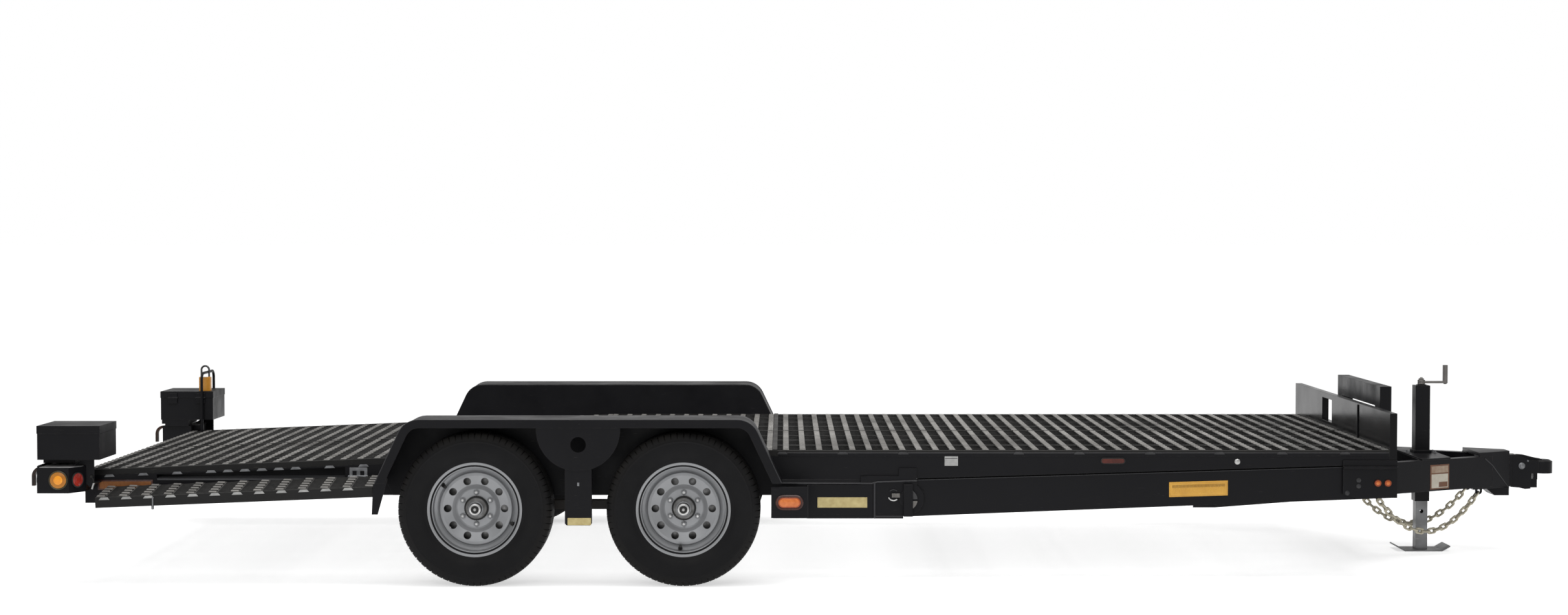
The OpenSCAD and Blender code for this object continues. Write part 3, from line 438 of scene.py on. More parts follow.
@dataclass(frozen=True)
class Coating:
    """A paint, plating, rubber or bare metal, and how it has worn."""

    name: str
    colour: Rgb
    second: Rgb
    bare: Rgb = (0.16, 0.15, 0.14)
    rough: float = 0.42
    swing: float = 0.12
    metal: float = 0.0
    bare_metal: float = 0.7
    gloss: float = 0.25
    coat: float = 0.0
    edge: float = 0.003
    wear: float = 0.3
    dust: float = 0.15
    dust_colour: Rgb = (0.16, 0.145, 0.125)
    scuff: float = 0.15
    scale: float = 5.0
    grain: float = 320.0
    stretch: float = 1.0
    bump: float = 0.12
    depth: float = 0.0004
    # Emission that makes a lens glow though its lamp is not lit: a painted glow.
    glow: float = 0.0

    def build(self, effects: Effects) -> bpy.types.Material:
        """Makes the material."""
        material, sketch, shader = self.start()
        patches = self.use(
            sketch, effects.patches, Scale=self.scale, Grain=self.grain, Stretch=self.stretch)
        edges = self.use(sketch, effects.edges, Radius=self.edge, Amount=self.wear)
        dust = self.use(sketch, effects.dust, Amount=self.dust).outputs["Mask"]
        scuffs = self.use(sketch, effects.scuffs, Amount=self.scuff).outputs["Mask"]
        tint = self.tint(sketch, patches.outputs["Broad"])
        tint = sketch.blend(dust, tint, self.dust_colour)
        rubbed = sketch.sum("MAXIMUM", edges.outputs["Mask"], scuffs)
        tint = sketch.blend(rubbed, tint, self.bare)
        fine, broad = patches.outputs["Fine"], patches.outputs["Broad"]
        rough = sketch.span(broad, 0.0, 1.0, self.rough - self.swing, self.rough + self.swing)
        rough = sketch.sum("ADD", rough, sketch.sum("MULTIPLY", dust, SETTLED_ROUGHNESS))
        bump = sketch.node("ShaderNodeBump", {"Strength": self.bump, "Distance": self.depth, "Height": fine,
                                              "Normal": edges.outputs["Normal"]}).outputs[0]
        links = {"Base Color": tint, "Roughness": rough, "Normal": bump}
        if self.metal < 0.99 and self.bare_metal > 0:
            shine = sketch.sum("MULTIPLY", rubbed, self.bare_metal)
            links["Metallic"] = sketch.sum("MAXIMUM", shine, self.metal)
        # A painted glow: the lens's own colour given out as light.
        if self.glow:
            links["Emission Color"] = tint
        for label, value in links.items():
            sketch.link(value, shader, label)
        return material

    def start(self) -> tuple[bpy.types.Material, Sketch, bpy.types.Node]:
        """A new material, its sketch and its shader, with fixed numbers on the shader's own sockets."""
        material = bpy.data.materials.new(self.name)
        material.use_nodes = True
        material.diffuse_color = (*self.colour, 1)
        shader = material.node_tree.nodes["Principled BSDF"]
        fixed = {"Metallic": self.metal, "Specular IOR Level": self.gloss, "Coat Weight": self.coat,
                 "Coat Roughness": COAT_ROUGHNESS, "Emission Strength": self.glow}
        for label, value in fixed.items():
            shader.inputs[label].default_value = value
        return material, Sketch(material.node_tree), shader

    def use(self, sketch: Sketch, group: bpy.types.NodeTree, **values: float) -> bpy.types.Node:
        """Places a shared group with this coating's own values."""
        made = sketch.node("ShaderNodeGroup", node_tree=group)
        for label, value in values.items():
            made.inputs[label].default_value = value
        return made

    def tint(self, sketch: Sketch, broad: Socket) -> Socket:
        """The colour before wear and dust."""
        return sketch.blend(broad, self.colour, self.second)


@dataclass(frozen=True)
class TwoPart(Coating):
    """A coating that changes to another colour above a height."""

    upper: Rgb = (0.01, 0.01, 0.01)
    height: float = 0.779

    def tint(self, sketch: Sketch, broad: Socket) -> Socket:
        """The lower colour, and the upper one above the height."""
        level = sketch.node("ShaderNodeSeparateXYZ", {0: sketch.place()}).outputs[2]
        share = sketch.span(level, self.height - 0.001, self.height + 0.001)
        return sketch.blend(share, sketch.blend(broad, self.colour, self.second), self.upper)


@dataclass(frozen=True)
class TyreRubber(Coating):
    """Rubber that greys with its distance from each wheel's centre."""

    axle_x: float = 0.457
    centre_z: float = 0.338
    wall_r: float = 0.29
    tread_r: float = 0.338

    def tint(self, sketch: Sketch, broad: Socket) -> Socket:
        """Clean on the side wall, and greyer towards the tread."""
        part = sketch.node("ShaderNodeSeparateXYZ", {0: sketch.place()}).outputs
        from_axles = sketch.plain("ABSOLUTE", sketch.plain("SUBTRACT", part[0], AXLE_MIDPOINT * MM))
        across = sketch.plain("SUBTRACT", from_axles, self.axle_x)
        up = sketch.plain("SUBTRACT", part[2], self.centre_z)
        spot = sketch.node("ShaderNodeCombineXYZ", {0: across, 1: up, 2: 0.0}).outputs[0]
        radius = sketch.vector("LENGTH", spot).outputs["Value"]
        worn = sketch.span(radius, self.wall_r, self.tread_r, 0.0, 0.8)
        return sketch.blend(sketch.sum("MULTIPLY", worn, broad), self.colour, self.second)


class Finishes:
    """Every material of the trailer."""

    def __init__(self, effects: Effects) -> None:
        """Builds the materials, each under the name that the pieces ask for."""
        black: Rgb = (0.0044, 0.0044, 0.0056)
        self.frame = Coating(
            "frame_black", black, (0.0064, 0.0064, 0.0078), gloss=0.12, scuff=0.1, wear=0.2, dust=0.05)
        self.tongue = Coating(
            "tongue_black", black, (0.006, 0.006, 0.0074), rough=0.36, gloss=0.12, scuff=0.12,
            dust=0.04)
        # Lighter grey than the frame's black, used on edge bars, beads, edge lines and small heads: a
        # painted highlight along edges, with dust and wear on it.
        self.highlight_grey = Coating(
            "painted_highlight_grey", (0.03, 0.03, 0.033), (0.016, 0.016, 0.019), grey(0.1), rough=0.4,
            gloss=0.3, dust=0.1, scale=3.0)
        # Pale grey for the lamp boxes' tops, which the corner boxes shade: painted light that makes them
        # look lit, with some dust on it.
        self.painted_lit_top = Coating(
            "painted_lit_top_sheet", grey(0.4), grey(0.28), grey(0.2), rough=0.6, bare_metal=0.0, gloss=0.2,
            dust=0.3, scale=18.0)
        self.ledge = Coating(
            "grey_ledge", (0.08, 0.081, 0.086), (0.05, 0.051, 0.055), grey(0.12), rough=0.45,
            gloss=0.3, dust=0.3, dust_colour=grey(0.14), scale=3.0)
        self.stop = Coating(
            "stop_gloss_black", (0.004, 0.004, 0.0048), (0.0055, 0.0055, 0.0062), rough=0.2,
            swing=0.06, gloss=0.1, coat=0.03, wear=0.1, dust=0.03, scuff=0.06, bump=0.05)
        self.deck = Coating(
            "deck_black", (0.0055, 0.0053, 0.0053), (0.013, 0.0125, 0.012), (0.12, 0.115, 0.105),
            rough=0.5, gloss=0.2, wear=0.4, dust=0.12, scuff=0.2, bump=0.3)
        self.worn = Coating(
            "worn_plank_steel", (0.27, 0.26, 0.245), (0.1, 0.096, 0.09), (0.42, 0.41, 0.39),
            rough=0.45, metal=0.3, gloss=0.4, wear=0.4, dust=0.06, scuff=0.2, scale=2.2, grain=500,
            bump=0.4)
        self.strand = Coating(
            "strand_steel", (0.017, 0.0165, 0.016), grey(0.008), (0.12, 0.115, 0.11), rough=0.5,
            gloss=0.2, wear=0.35, dust=0.08, scale=2.5, bump=0.3)
        self.tail_deck = Coating(
            "tail_deck_black", (0.0056, 0.0055, 0.0056), (0.011, 0.0108, 0.0105), (0.15, 0.145, 0.13),
            rough=0.55, gloss=0.2, wear=0.4, dust=0.3, dust_colour=(0.1, 0.096, 0.09), scuff=0.2,
            bump=0.3)
        # Darker knuckle steel for the planks by the front stop: painted shade.
        self.dull = Coating(
            "painted_shade_plank_steel", (0.17, 0.165, 0.155), grey(0.05), (0.3, 0.29, 0.28), rough=0.5,
            metal=0.2, gloss=0.35, wear=0.5, dust=0.1, scuff=0.2, scale=9.0, grain=500, bump=0.4)
        self.tyre = TyreRubber(
            "tyre_rubber_black", (0.0056, 0.0056, 0.0063), (0.02, 0.0187, 0.0172), rough=0.6,
            swing=0.08, gloss=0.12, wear=0.0, bare_metal=0.0, dust=0.07, scuff=0.05, edge=0.0015,
            grain=700, bump=0.22, scale=9.0)
        self.rim = Coating(
            "rim_silver", (0.272, 0.277, 0.288), (0.235, 0.24, 0.247), (0.18, 0.165, 0.15), rough=0.4,
            swing=0.06, metal=0.45, gloss=0.5, coat=0.1, wear=0.12, dust=0.06, scuff=0.04,
            bare_metal=0.45, grain=900, bump=0.1)
        self.hub = Coating(
            "hub_grease_steel", grey(0.21), (0.08, 0.078, 0.075), grey(0.4), rough=0.36, metal=0.8,
            gloss=0.5, wear=0.4, dust=0.05, scale=26.0, bump=0.3)
        self.bright = Coating(
            "bright_zinc", grey(0.52), (0.36, 0.36, 0.35), grey(0.6), rough=0.32, metal=0.75,
            gloss=0.5, wear=0.2, dust=0.05, scale=30.0, bump=0.2)
        self.leg = Coating(
            "jack_leg_zinc", (0.235, 0.24, 0.245), (0.17, 0.17, 0.172), (0.42, 0.42, 0.4), rough=0.4,
            metal=0.5, gloss=0.5, wear=0.35, dust=0.05, scuff=0.35, scale=8.0, grain=420, bump=0.25)
        self.chain = Coating(
            "chain_yellow_zinc", (0.56, 0.52, 0.4), (0.36, 0.33, 0.26), (0.7, 0.67, 0.58), rough=0.36,
            metal=0.55, gloss=0.5, wear=0.4, dust=0.05, scale=40.0, bump=0.3)
        self.spring = Coating(
            "spring_black", (0.008, 0.0078, 0.0078), (0.02, 0.015, 0.012), (0.1, 0.07, 0.05),
            rough=0.55, wear=0.35, bump=0.35)
        self.hook = Coating(
            "hook_black", (0.0095, 0.009, 0.009), (0.05, 0.018, 0.008), (0.16, 0.07, 0.035),
            rough=0.45, wear=0.7, dust=0.1, scuff=0.3, scale=14.0, bump=0.3)
        lens = dict(bare_metal=0.0, gloss=0.3, wear=0.1, scuff=0.0, edge=0.0008)
        sheet = dict(bare_metal=0.0, edge=0.0008)
        self.amber = Coating(
            "amber_lens_plastic", (0.5, 0.2, 0.016), (0.4, 0.14, 0.01), (0.8, 0.4, 0.06), rough=0.2,
            swing=0.04, coat=0.15, dust=0.04, grain=240, bump=0.25, glow=0.08, scale=20.0, **lens)
        # The brighter middle of the amber lenses, with more emission: a painted glow of an unlit lamp.
        self.amber_painted_glow = Coating(
            "amber_lens_painted_glow", (0.84, 0.34, 0.018), (0.72, 0.24, 0.01), (1.0, 0.6, 0.2), rough=0.18,
            swing=0.03, coat=0.2, dust=0.0, grain=160, bump=0.4, glow=0.2, scale=60.0, **lens)
        self.olive = Coating(
            "dark_lamp_ring", (0.05, 0.042, 0.014), (0.025, 0.02, 0.008), (0.14, 0.11, 0.05),
            rough=0.3, dust=0.06, grain=300, bump=0.2, scale=20.0, **lens)
        # Brighter orange for the middles of the orange lamps, with emission: a painted glow.
        self.orange = Coating(
            "orange_lens_painted_glow", (0.66, 0.19, 0.045), (0.5, 0.12, 0.025), (0.85, 0.38, 0.14),
            rough=0.2, swing=0.04, coat=0.15, dust=0.03, grain=240, bump=0.3, glow=0.1, scale=60.0,
            **lens)
        self.orange_edge = Coating(
            "deep_orange_lens", (0.42, 0.085, 0.02), (0.3, 0.05, 0.012), (0.6, 0.2, 0.08), rough=0.2,
            coat=0.1, dust=0.04, grain=240, bump=0.3, glow=0.06, scale=30.0, **lens)
        self.lens_rim = Coating(
            "red_brown_lamp_rim", (0.065, 0.017, 0.01), (0.035, 0.01, 0.007), (0.15, 0.06, 0.04),
            rough=0.26, coat=0.1, dust=0.04, grain=300, bump=0.2, scale=20.0, **lens)
        self.red = Coating(
            "red_lens_plastic", (0.38, 0.026, 0.014), (0.2, 0.012, 0.008), (0.6, 0.1, 0.08), rough=0.2,
            swing=0.04, coat=0.15, dust=0.04, grain=240, bump=0.3, glow=0.06, scale=20.0, **lens)
        self.marker = Coating(
            "dark_red_marker", (0.11, 0.02, 0.012), (0.05, 0.009, 0.006), (0.2, 0.06, 0.04),
            rough=0.25, swing=0.04, coat=0.05, wear=0.1, dust=0.05, scuff=0.0, bump=0.2, scale=20.0,
            **sheet)
        self.reflector = Coating(
            "yellow_reflector", (0.7, 0.37, 0.03), (0.58, 0.29, 0.02), (0.8, 0.52, 0.12), rough=0.3,
            swing=0.05, gloss=0.5, coat=0.3, wear=0.1, dust=0.06, scuff=0.05, grain=380, bump=0.3,
            scale=18.0, **sheet)
        self.burnt = Coating(
            "burnt_orange_reflector", (0.3, 0.115, 0.028), (0.2, 0.065, 0.015), (0.4, 0.2, 0.08),
            rough=0.35, swing=0.05, coat=0.05, wear=0.1, dust=0.1, scuff=0.0, grain=380, bump=0.3,
            scale=14.0, **sheet)
        self.gold = Coating(
            "gold_plate", (0.5, 0.42, 0.2), (0.4, 0.32, 0.14), (0.6, 0.53, 0.33), rough=0.4,
            metal=0.45, gloss=0.5, dust=0.1, scuff=0.25, grain=240, bump=0.25, edge=0.0008, scale=40.0)
        self.tab_dark = Coating(
            "front_tab_grey", (0.042, 0.042, 0.044), (0.022, 0.022, 0.024), grey(0.16), rough=0.45,
            gloss=0.3, wear=0.4, dust=0.1, scale=22.0, bump=0.2)
        self.tab_light = Coating(
            "wing_tab_grey", (0.42, 0.42, 0.41), (0.26, 0.26, 0.255), (0.42, 0.42, 0.4), rough=0.45,
            metal=0.3, gloss=0.4, dust=0.1, scale=22.0, bump=0.2)
        self.tan_edge = Coating(
            "brown_yellow_band", (0.36, 0.19, 0.025), (0.28, 0.14, 0.018), (0.5, 0.3, 0.1), rough=0.35,
            gloss=0.3, wear=0.2, dust=0.05, scale=30.0, **sheet)
        self.tan = Coating(
            "tan_label_band", (0.42, 0.33, 0.25), (0.3, 0.2, 0.14), (0.5, 0.4, 0.32), rough=0.5,
            gloss=0.3, wear=0.4, dust=0.1, scale=60.0, **sheet)
        self.silver = Coating(
            "silver_reflector", (0.44, 0.44, 0.43), (0.34, 0.34, 0.335), grey(0.6), rough=0.35,
            gloss=0.4, wear=0.2, dust=0.1, scale=60.0, **sheet)
        self.pale = Coating(
            "pale_label", (0.6, 0.56, 0.48), (0.5, 0.45, 0.37), (0.3, 0.25, 0.2), rough=0.5, gloss=0.4,
            wear=0.4, scuff=0.1, scale=40.0, **sheet)
        self.brown = Coating(
            "brown_label_band", (0.12, 0.045, 0.022), (0.16, 0.07, 0.035), (0.3, 0.2, 0.15), rough=0.5,
            gloss=0.4, wear=0.4, dust=0.1, scale=40.0, **sheet)
        self.galvanised = Coating(
            "galvanised_grey", (0.22, 0.225, 0.235), (0.13, 0.135, 0.14), grey(0.35), rough=0.45,
            metal=0.4, gloss=0.5, scale=28.0, bump=0.2)
        self.disc = Coating(
            "grey_pivot_steel", (0.17, 0.16, 0.15), (0.1, 0.095, 0.09), (0.3, 0.29, 0.27), metal=0.3,
            gloss=0.4, dust=0.1, scale=28.0, bump=0.2)
        self.lock = TwoPart(
            "lock_amber_and_black", (0.6, 0.27, 0.02), (0.5, 0.2, 0.012), (0.7, 0.4, 0.1), rough=0.35,
            bare_metal=0.0, gloss=0.5, coat=0.2, dust=0.05, edge=0.002, scale=30.0)
        self.black_rubber = Coating(
            "black_rubber", grey(0.0085), (0.014, 0.0135, 0.013), rough=0.6, bare_metal=0.0, gloss=0.3,
            wear=0.0, dust=0.1, scuff=0.0, grain=500, bump=0.3, edge=0.001, scale=30.0)
        for label, finish in list(vars(self).items()):
            setattr(self, label, finish.build(effects))


NODE_FINISHES = {
    "main_rail": "frame", "deck_rail": "frame", "cross_members": "frame", "rear_beam": "frame",
    "front_stop": "stop", "deck_front": "deck", "deck_tail": "tail_deck", "side_wing": "tail_deck",
    "fender": "frame", "side_lamp": "frame", "latch_plates": "frame", "pivot_brackets": "frame",
    "leaf_springs": "spring", "spring_hangers": "spring", "axles": "spring", "lamp_boxes": "frame",
    "corner_boxes": "frame", "rear_hooks": "hook", "lock_hoop": "frame", "padlock": "lock",
    "amber_lamps": "amber", "red_lamps": "red",
    "tongue": "tongue", "drawbar": "tongue", "coupler": "tongue", "front_guard": "tongue",
    "jack_mount": "tongue", "jack_tube": "tongue", "chain": "chain", "jack_leg": "leg", "jack_foot": "leg",
    "jack_crank": "disc", "tyre": "tyre", "rim": "rim", "hub": "hub",
}


def dress_frame(nodes: dict[str, bpy.types.Object], finishes: Finishes) -> None:
    """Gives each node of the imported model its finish, by the longest name that starts its own."""
    for name, node in nodes.items():
        starts = [start for start in NODE_FINISHES if name.startswith(start)]
        finish = getattr(finishes, NODE_FINISHES[max(starts, key=len)])
        node.data.materials.clear()
        node.data.materials.append(finish)
        node.data.polygons.foreach_set("material_index", [0] * len(node.data.polygons))
        LOG.info("%s takes %s", name, finish.name)


@dataclass(frozen=True)
class Run:
    """A run of planks: where its first band starts, how long it is, and how it is divided."""

    first: float
    length: float
    bays: int
    band: float = 27.0
    row: float = 68.0

    @property
    def step(self) -> float:
        """Distance from band to band."""
        return (self.length - self.band) / self.bays


@dataclass
class DeckSurface:
    """The pressed deck planks: bands of worn knuckles with strands between them."""

    front: Run = Run(0.0, 3600.0, 48)
    tail: Run = Run(-2221.7, 2220.75, 29)
    wings: Run = Run(-2120.0, 1214.0, 12, 37.0, 44.0)
    height: float = 580.0
    skew: float = 5.0
    bow: float = 26.0
    half_width: float = 1036.0
    middle_gap: float = 8.0
    wing_top: float = -103.0
    wing_edge: float = 1264.0
    wing_width: float = 222.0
    tilt: float = math.atan2(88, 2220)
    wing_slope: float = 0.13
    # Knuckles ahead of this x take the painted shade.
    painted_shade_x: float = 3130

    def tail_frame(self) -> Matrix:
        """Where the sloping tail's own frame stands."""
        return Matrix.Translation((0, 0, self.height)) @ Matrix.Rotation(-self.tilt, 4, "Y")

    def knuckle(self, shape: Shape, x: float, y: float, top: float, half: float, reach: float,
                move: Matrix | None) -> None:
        """Adds one raised knuckle with a flat top and slanted flanks."""
        rings = []
        for inset, level in ((0.0, top - 1.0), (0.6, top + 1.6), (2.2, top + 3.0)):
            a, b = half - inset, reach - inset
            rings.append([(x - a, y + self.skew - b, level), (x + a, y - self.skew - b, level),
                          (x + a, y - self.skew + b, level), (x - a, y + self.skew + b, level)])
        shape.loft(rings, 0, move=move)

    def strand(self, shape: Shape, start: tuple[float, float], end: tuple[float, float], top: float,
               move: Matrix | None) -> None:
        """Adds one bowed strand from a knuckle to the next band."""
        rings = []
        for i in range(5):
            t = i / 4
            x = start[0] + (end[0] - start[0]) * t
            y = start[1] + (end[1] - start[1]) * t - self.bow * t * (1 - t)
            corners = ((-2.5, -9), (2.5, -9), (2.0, -1.5), (-2.0, -1.5))
            rings.append([(x, y + across, top + up) for across, up in corners])
        shape.loft(rings, 1, move=move)

    def panel(self, run: Run, low: float, high: float, top: float, move: Matrix | None = None,
              fine: int = 1) -> Shape:
        """The knuckles and strands over one panel of planks.

        Args:
            run: How the panel is divided along the deck.
            low: The panel's edge with the smaller y.
            high: Its other edge.
            top: Height of the planks' top.
            move: The panel's own frame, if it isn't level.
            fine: How many strands leave each knuckle.

        Returns:
            The shape, with skin 0 on knuckles and 1 on strands.
        """
        shape = Shape()
        band, row, step = run.band, run.row, run.step
        rows = int((high - low - 0.6 * row) / row) + 1
        margin = (high - low - row * (rows - 1)) / 2
        for k in range(run.bays + 1):
            x = run.first + band / 2 + step * k
            for j in range(rows):
                y = low + margin + row * j
                self.knuckle(shape, x, y, top, band / 2, 0.225 * row, move)
                for i in range(fine if k < run.bays else 0):
                    spread = row * (i - (fine - 1) / 2) / fine
                    start = (x + band / 2, y - self.skew + spread)
                    self.strand(shape, start, (x + step - band / 2, y + self.skew + spread), top, move)
        return shape

    def edge_tabs(self) -> Shape:
        """The cut ends of the planks that show along the deck's and the wings' edges."""
        shape = Shape()
        slope = self.tail_frame()
        tab = [(-24, -11), (24, -11), (15, 0), (-15, 0)]

        def tabs(spots: Iterable[float], y: float, top: float, skin: int, move: Matrix | None) -> None:
            for x in spots:
                outline = [(x + a, top + b) for a, b in tab]
                shape.plate(outline, y - 0.4, y + 2.2, cut=0.5, skin=skin, move=move)

        picks = (1, 3, 5, 7, 8, 9, 10, 11, 12, 14, 16, 18, 19, 21, 23, 25, 27)
        tabs([-2190 + self.tail.step * k for k in picks], 1040, -24, 0, slope)
        tabs([-2080 + 97 * k for k in range(12)], 1270, -103, 1, slope)
        tabs([890, 1160, 1430, 1945, 2215, 2530, 2840, 3120, 3400], 1040.4, self.height - 7, 2, None)
        return shape.both()

    def seams(self) -> Shape:
        """The cover strips over the joints between the deck's panels, and those along its front edges."""
        shape = Shape()
        shape.block((846, -1036, 579), (868, 1036, 584.5), 2)
        for low, high in ((870, 3590), (8, 842)):
            shape.block((low, -6, 579), (high, 6, 583), 1.5)
        shape.block((-2205, -6, -1), (-8, 6, 3), 1.5, move=self.tail_frame())
        # Grey strips along the deck's front edges: a painted highlight.
        for k in range(16, 24):
            low, high = 2 * self.front.step * k + 8, 2 * self.front.step * (k + 1) - 8
            for y in (-1038.6, 1036.2):
                shape.block((low, y, 571), (high, y + 2.4, 576), 0.8, 1)
        return shape

    def paint_shade_by_stop(self, front: Shape) -> None:
        """Gives the knuckles by the front stop the darker skin, 2, as painted shade."""
        for k, face in enumerate(front.faces):
            if front.skins[k] == 0 and min(front.points[i][0] for i in face) > self.painted_shade_x:
                front.skins[k] = 2

    def wing(self, low: float) -> Shape:
        """The knuckles, strands and cross bars of one wing, which rises towards the rail.

        Args:
            low: The wing's edge with the smaller y.

        Returns:
            The shape, with skins 0 and 1 as on a panel and 2 on the cross bars.
        """
        high = low + self.wing_width
        lift = Matrix.Identity(4)
        lift[2][1] = self.wing_slope if low < 0 else -self.wing_slope
        lift[2][3] = self.wing_slope * self.wing_edge
        frame = self.tail_frame() @ lift
        wing = self.panel(self.wings, low, high, self.wing_top, frame, 3)
        start = self.wings.first + self.wings.band
        for x in [self.wings.first - 2] + [self.wings.step * k + start for k in range(self.wings.bays + 1)]:
            wing.block((x, low + 2, -114), (x + 3, high - 2, -105), 0.5, 2, frame)
        return wing

    def build(self, finishes: Finishes) -> None:
        """Puts the deck's pieces in the scene."""
        skins = [finishes.worn, finishes.strand, finishes.dull]
        sides = (("near", -self.half_width, -self.middle_gap), ("far", self.middle_gap, self.half_width))
        for side, low, high in sides:
            front = self.panel(self.front, low, high, self.height)
            self.paint_shade_by_stop(front)
            put("plank_knuckles_front_" + side, front, Body.CHASSIS, skins, 20)
            tail = self.panel(self.tail, low, high, 0, self.tail_frame(), 2)
            put("plank_knuckles_tail_" + side, tail, Body.CHASSIS, skins, 20)
        for side, low in (("near", -self.wing_edge), ("far", self.wing_edge - self.wing_width)):
            put("plank_knuckles_wing_" + side, self.wing(low), Body.CHASSIS, skins, 20)
        skins = [finishes.galvanised, finishes.tab_light, finishes.tab_dark]
        put("plank_edge_tabs", self.edge_tabs(), Body.CHASSIS, skins)
        put("plank_seam_strips", self.seams(), Body.CHASSIS, [finishes.deck, finishes.highlight_grey])


@dataclass
class Wheel:
    """One wheel: its tyre with shoulder sipes, and what is fitted to the rim and hub."""

    name: str
    x: float
    side: int
    valve: float
    weight: float | None = None
    turn: float = 0.0
    y: float = 1167.5
    z: float = 338.0
    blocks: int = 72
    nuts: int = 6
    stud_circle_r: float = 69.85
    hub_ribs: int = 36

    def centre(self, out: float = 0.0) -> Point:
        """A point on the wheel's axis, so far out from its middle."""
        return (self.x, self.side * (self.y + out), self.z)

    def spot(self, radius: float, angle: float, out: float) -> Point:
        """A point about the wheel's axis, as seen from outside it."""
        along, up = radius * math.cos(angle), radius * math.sin(angle)
        return (self.x + along, self.side * (self.y + out), self.z + up)

    def tyre(self) -> Shape:
        """The carcass, its four grooves and the sipes across both shoulders."""
        wall = [(79, 191), (82, 203), (84, 208.5), (86, 214), (88, 218), (88.6, 221), (91, 224), (97, 236),
                (100.5, 248), (102.2, 262), (102.5, 274), (102.2, 286), (101.0, 296), (101.8, 298),
                (101.8, 302), (100.2, 304), (97.5, 312)]
        shoulder = [(94, 318, 2), (90, 325, 5), (84, 331, 6), (77, 335, 6), (69, 337, 6), (60.5, 338, 6),
                    (53, 338, 5)]
        grooves = [(52.2, 330), (43.8, 330), (43, 338), (21, 338), (20.2, 330), (11.8, 330), (11, 338)]
        half = [(u, r, 0) for u, r in wall] + shoulder + [(u, r, 0) for u, r in grooves]
        profile = half + [(-u, r, d) for u, r, d in half[::-1]]
        turns = []
        for i in range(self.blocks):
            for share, cut in ((0.0, 0), (0.84, 0), (0.87, 1), (0.97, 1)):
                turns.append((TAU * (i + share) / self.blocks, cut))
        rings = []
        for u, r, depth in profile:
            rings.append([self.spot(r - depth * cut, turn, u) for turn, cut in turns])
        shape = Shape()
        inner = [self.spot(r, turn, u) for u, r in ((-79, 189), (79, 189)) for turn, _ in turns]
        count = len(turns)
        rings += [inner[:count], inner[count:]]
        shape.loft(rings, 0, looped=True)
        return shape

    def fittings(self) -> Shape:
        """Wheel nuts on their studs, the valve, any balance weight, and the hub's ring, cap and nipple."""
        shape = Shape()
        out = (0, self.side, 0)
        for k in range(self.nuts):
            angle = self.turn + TAU * k / self.nuts + TAU / 4
            foot = self.spot(self.stud_circle_r, angle, 9.5)
            shape.turned([(13, 0), (13.4, 1), (12.6, 3)], foot, out, 20, 0)
            shape.turned([(11, 2.6), (11, 10), (9.4, 12.4)], foot, out, 6, 0, angle)
            shape.turned([(6, 12.0), (6, 15.5), (4.8, 16.6)], foot, out, 14, 1)
        root = self.spot(182, self.valve, 24)
        mid = self.spot(174, self.valve, 42)
        tip = self.spot(163, self.valve, 56)
        shape.pipe([root, mid], 9.5, 14, 2)
        shape.pipe([mid, tip], 7.0, 12, 2)
        if self.weight is not None:
            shape.pipe([self.spot(174, self.weight + 0.05 * k, 44) for k in (-1, 0, 1)], 6.0, 10, 2)
            shape.pipe([self.spot(162, self.weight, 44), self.spot(178, self.weight, 46)], 5.0, 10, 2)
        shape.turned([(52, 9.5), (53, 12), (53, 20), (50, 24), (45.5, 25)], self.centre(), out, 48, 2)
        for k in range(self.hub_ribs):
            angle = TAU * k / self.hub_ribs
            shape.pipe([self.spot(53, angle, 11.5), self.spot(53, angle, 20.5)], 1.4, 6, 2)
        shape.turned([(31, 33), (33.5, 36), (33.5, 44), (31, 47), (28.3, 48)], self.centre(), out, 40, 0)
        shape.turned([(24.5, 71), (26, 73), (25.5, 76), (22, 77.5)], self.centre(), out, 36, 1)
        shape.turned([(17.5, 77), (17, 79), (14, 80)], self.centre(), out, 32, 2)
        shape.turned([(6.5, 79.5), (6.5, 82.5), (4, 84), (4, 88), (2.6, 89.5)], self.centre(), out, 12, 1)
        return shape

    def build(self, finishes: Finishes) -> None:
        """Puts the wheel's pieces in the scene."""
        body = "wheel_" + self.name
        tyre = put("tread_tyre_" + self.name, self.tyre(), body, [finishes.tyre], 28)
        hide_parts("tyre_" + self.name)
        skins = [finishes.rim, finishes.bright, finishes.black_rubber]
        put("wheel_fittings_" + self.name, self.fittings(), body, skins)


@dataclass
class Fenders:
    """What is fitted to the fenders and their braces."""

    edge_y: float = 1291.0

    def bead(self) -> Shape:
        """The round bead along each fender's outer edge, in lighter grey as a painted highlight."""
        shape = Shape()
        corner, foot, radius = (755.0, 734.0), (886.0, 459.0), 95.0
        lean = math.atan2(foot[0] - corner[0], corner[1] - foot[1])
        turn = math.pi / 2 - lean
        pull = radius * math.tan(turn / 2)
        path = [(-foot[0], self.edge_y, foot[1])]
        start = (-(corner[0] - pull), corner[1] - radius)
        for i in range(9):
            angle = math.pi / 2 + turn * (1 - i / 8)
            x, z = start[0] + radius * math.cos(angle), start[1] + radius * math.sin(angle)
            path.append((x, self.edge_y, z))
        path += [(-x, y, z) for x, y, z in path[::-1]]
        shape.pipe(path, 4.0, 10)
        return shape.both()

    def brace_fittings(self) -> Shape:
        """The blank gold plate on each brace with its rivets, the strip behind the slot, and two caps."""
        shape = Shape()
        shape.block((-47, 1289, 275), (56, 1290.6, 307), 0.4, 0)
        for x in (-42, 51):
            for z in (280, 302):
                shape.turned([(2.4, 0), (2.2, 1), (1.2, 1.6)], (x, 1290.4, z), OUT, 12, 0)
        shape.block((-5.5, 1284, 445), (5.5, 1287.5, 463), 0.6, 1)
        for x in (-52, 52):
            shape.turned([(6, 0), (6, 2), (4, 3.6)], (x, 1289, 520), OUT, 16, 2)
        return shape.both()

    def build(self, finishes: Finishes) -> None:
        """Puts the fenders' pieces in the scene."""
        put("fender_beads", self.bead(), Body.CHASSIS, [finishes.highlight_grey])
        skins = [finishes.gold, finishes.galvanised, finishes.frame]
        put("brace_plates", self.brace_fittings(), Body.CHASSIS, skins)


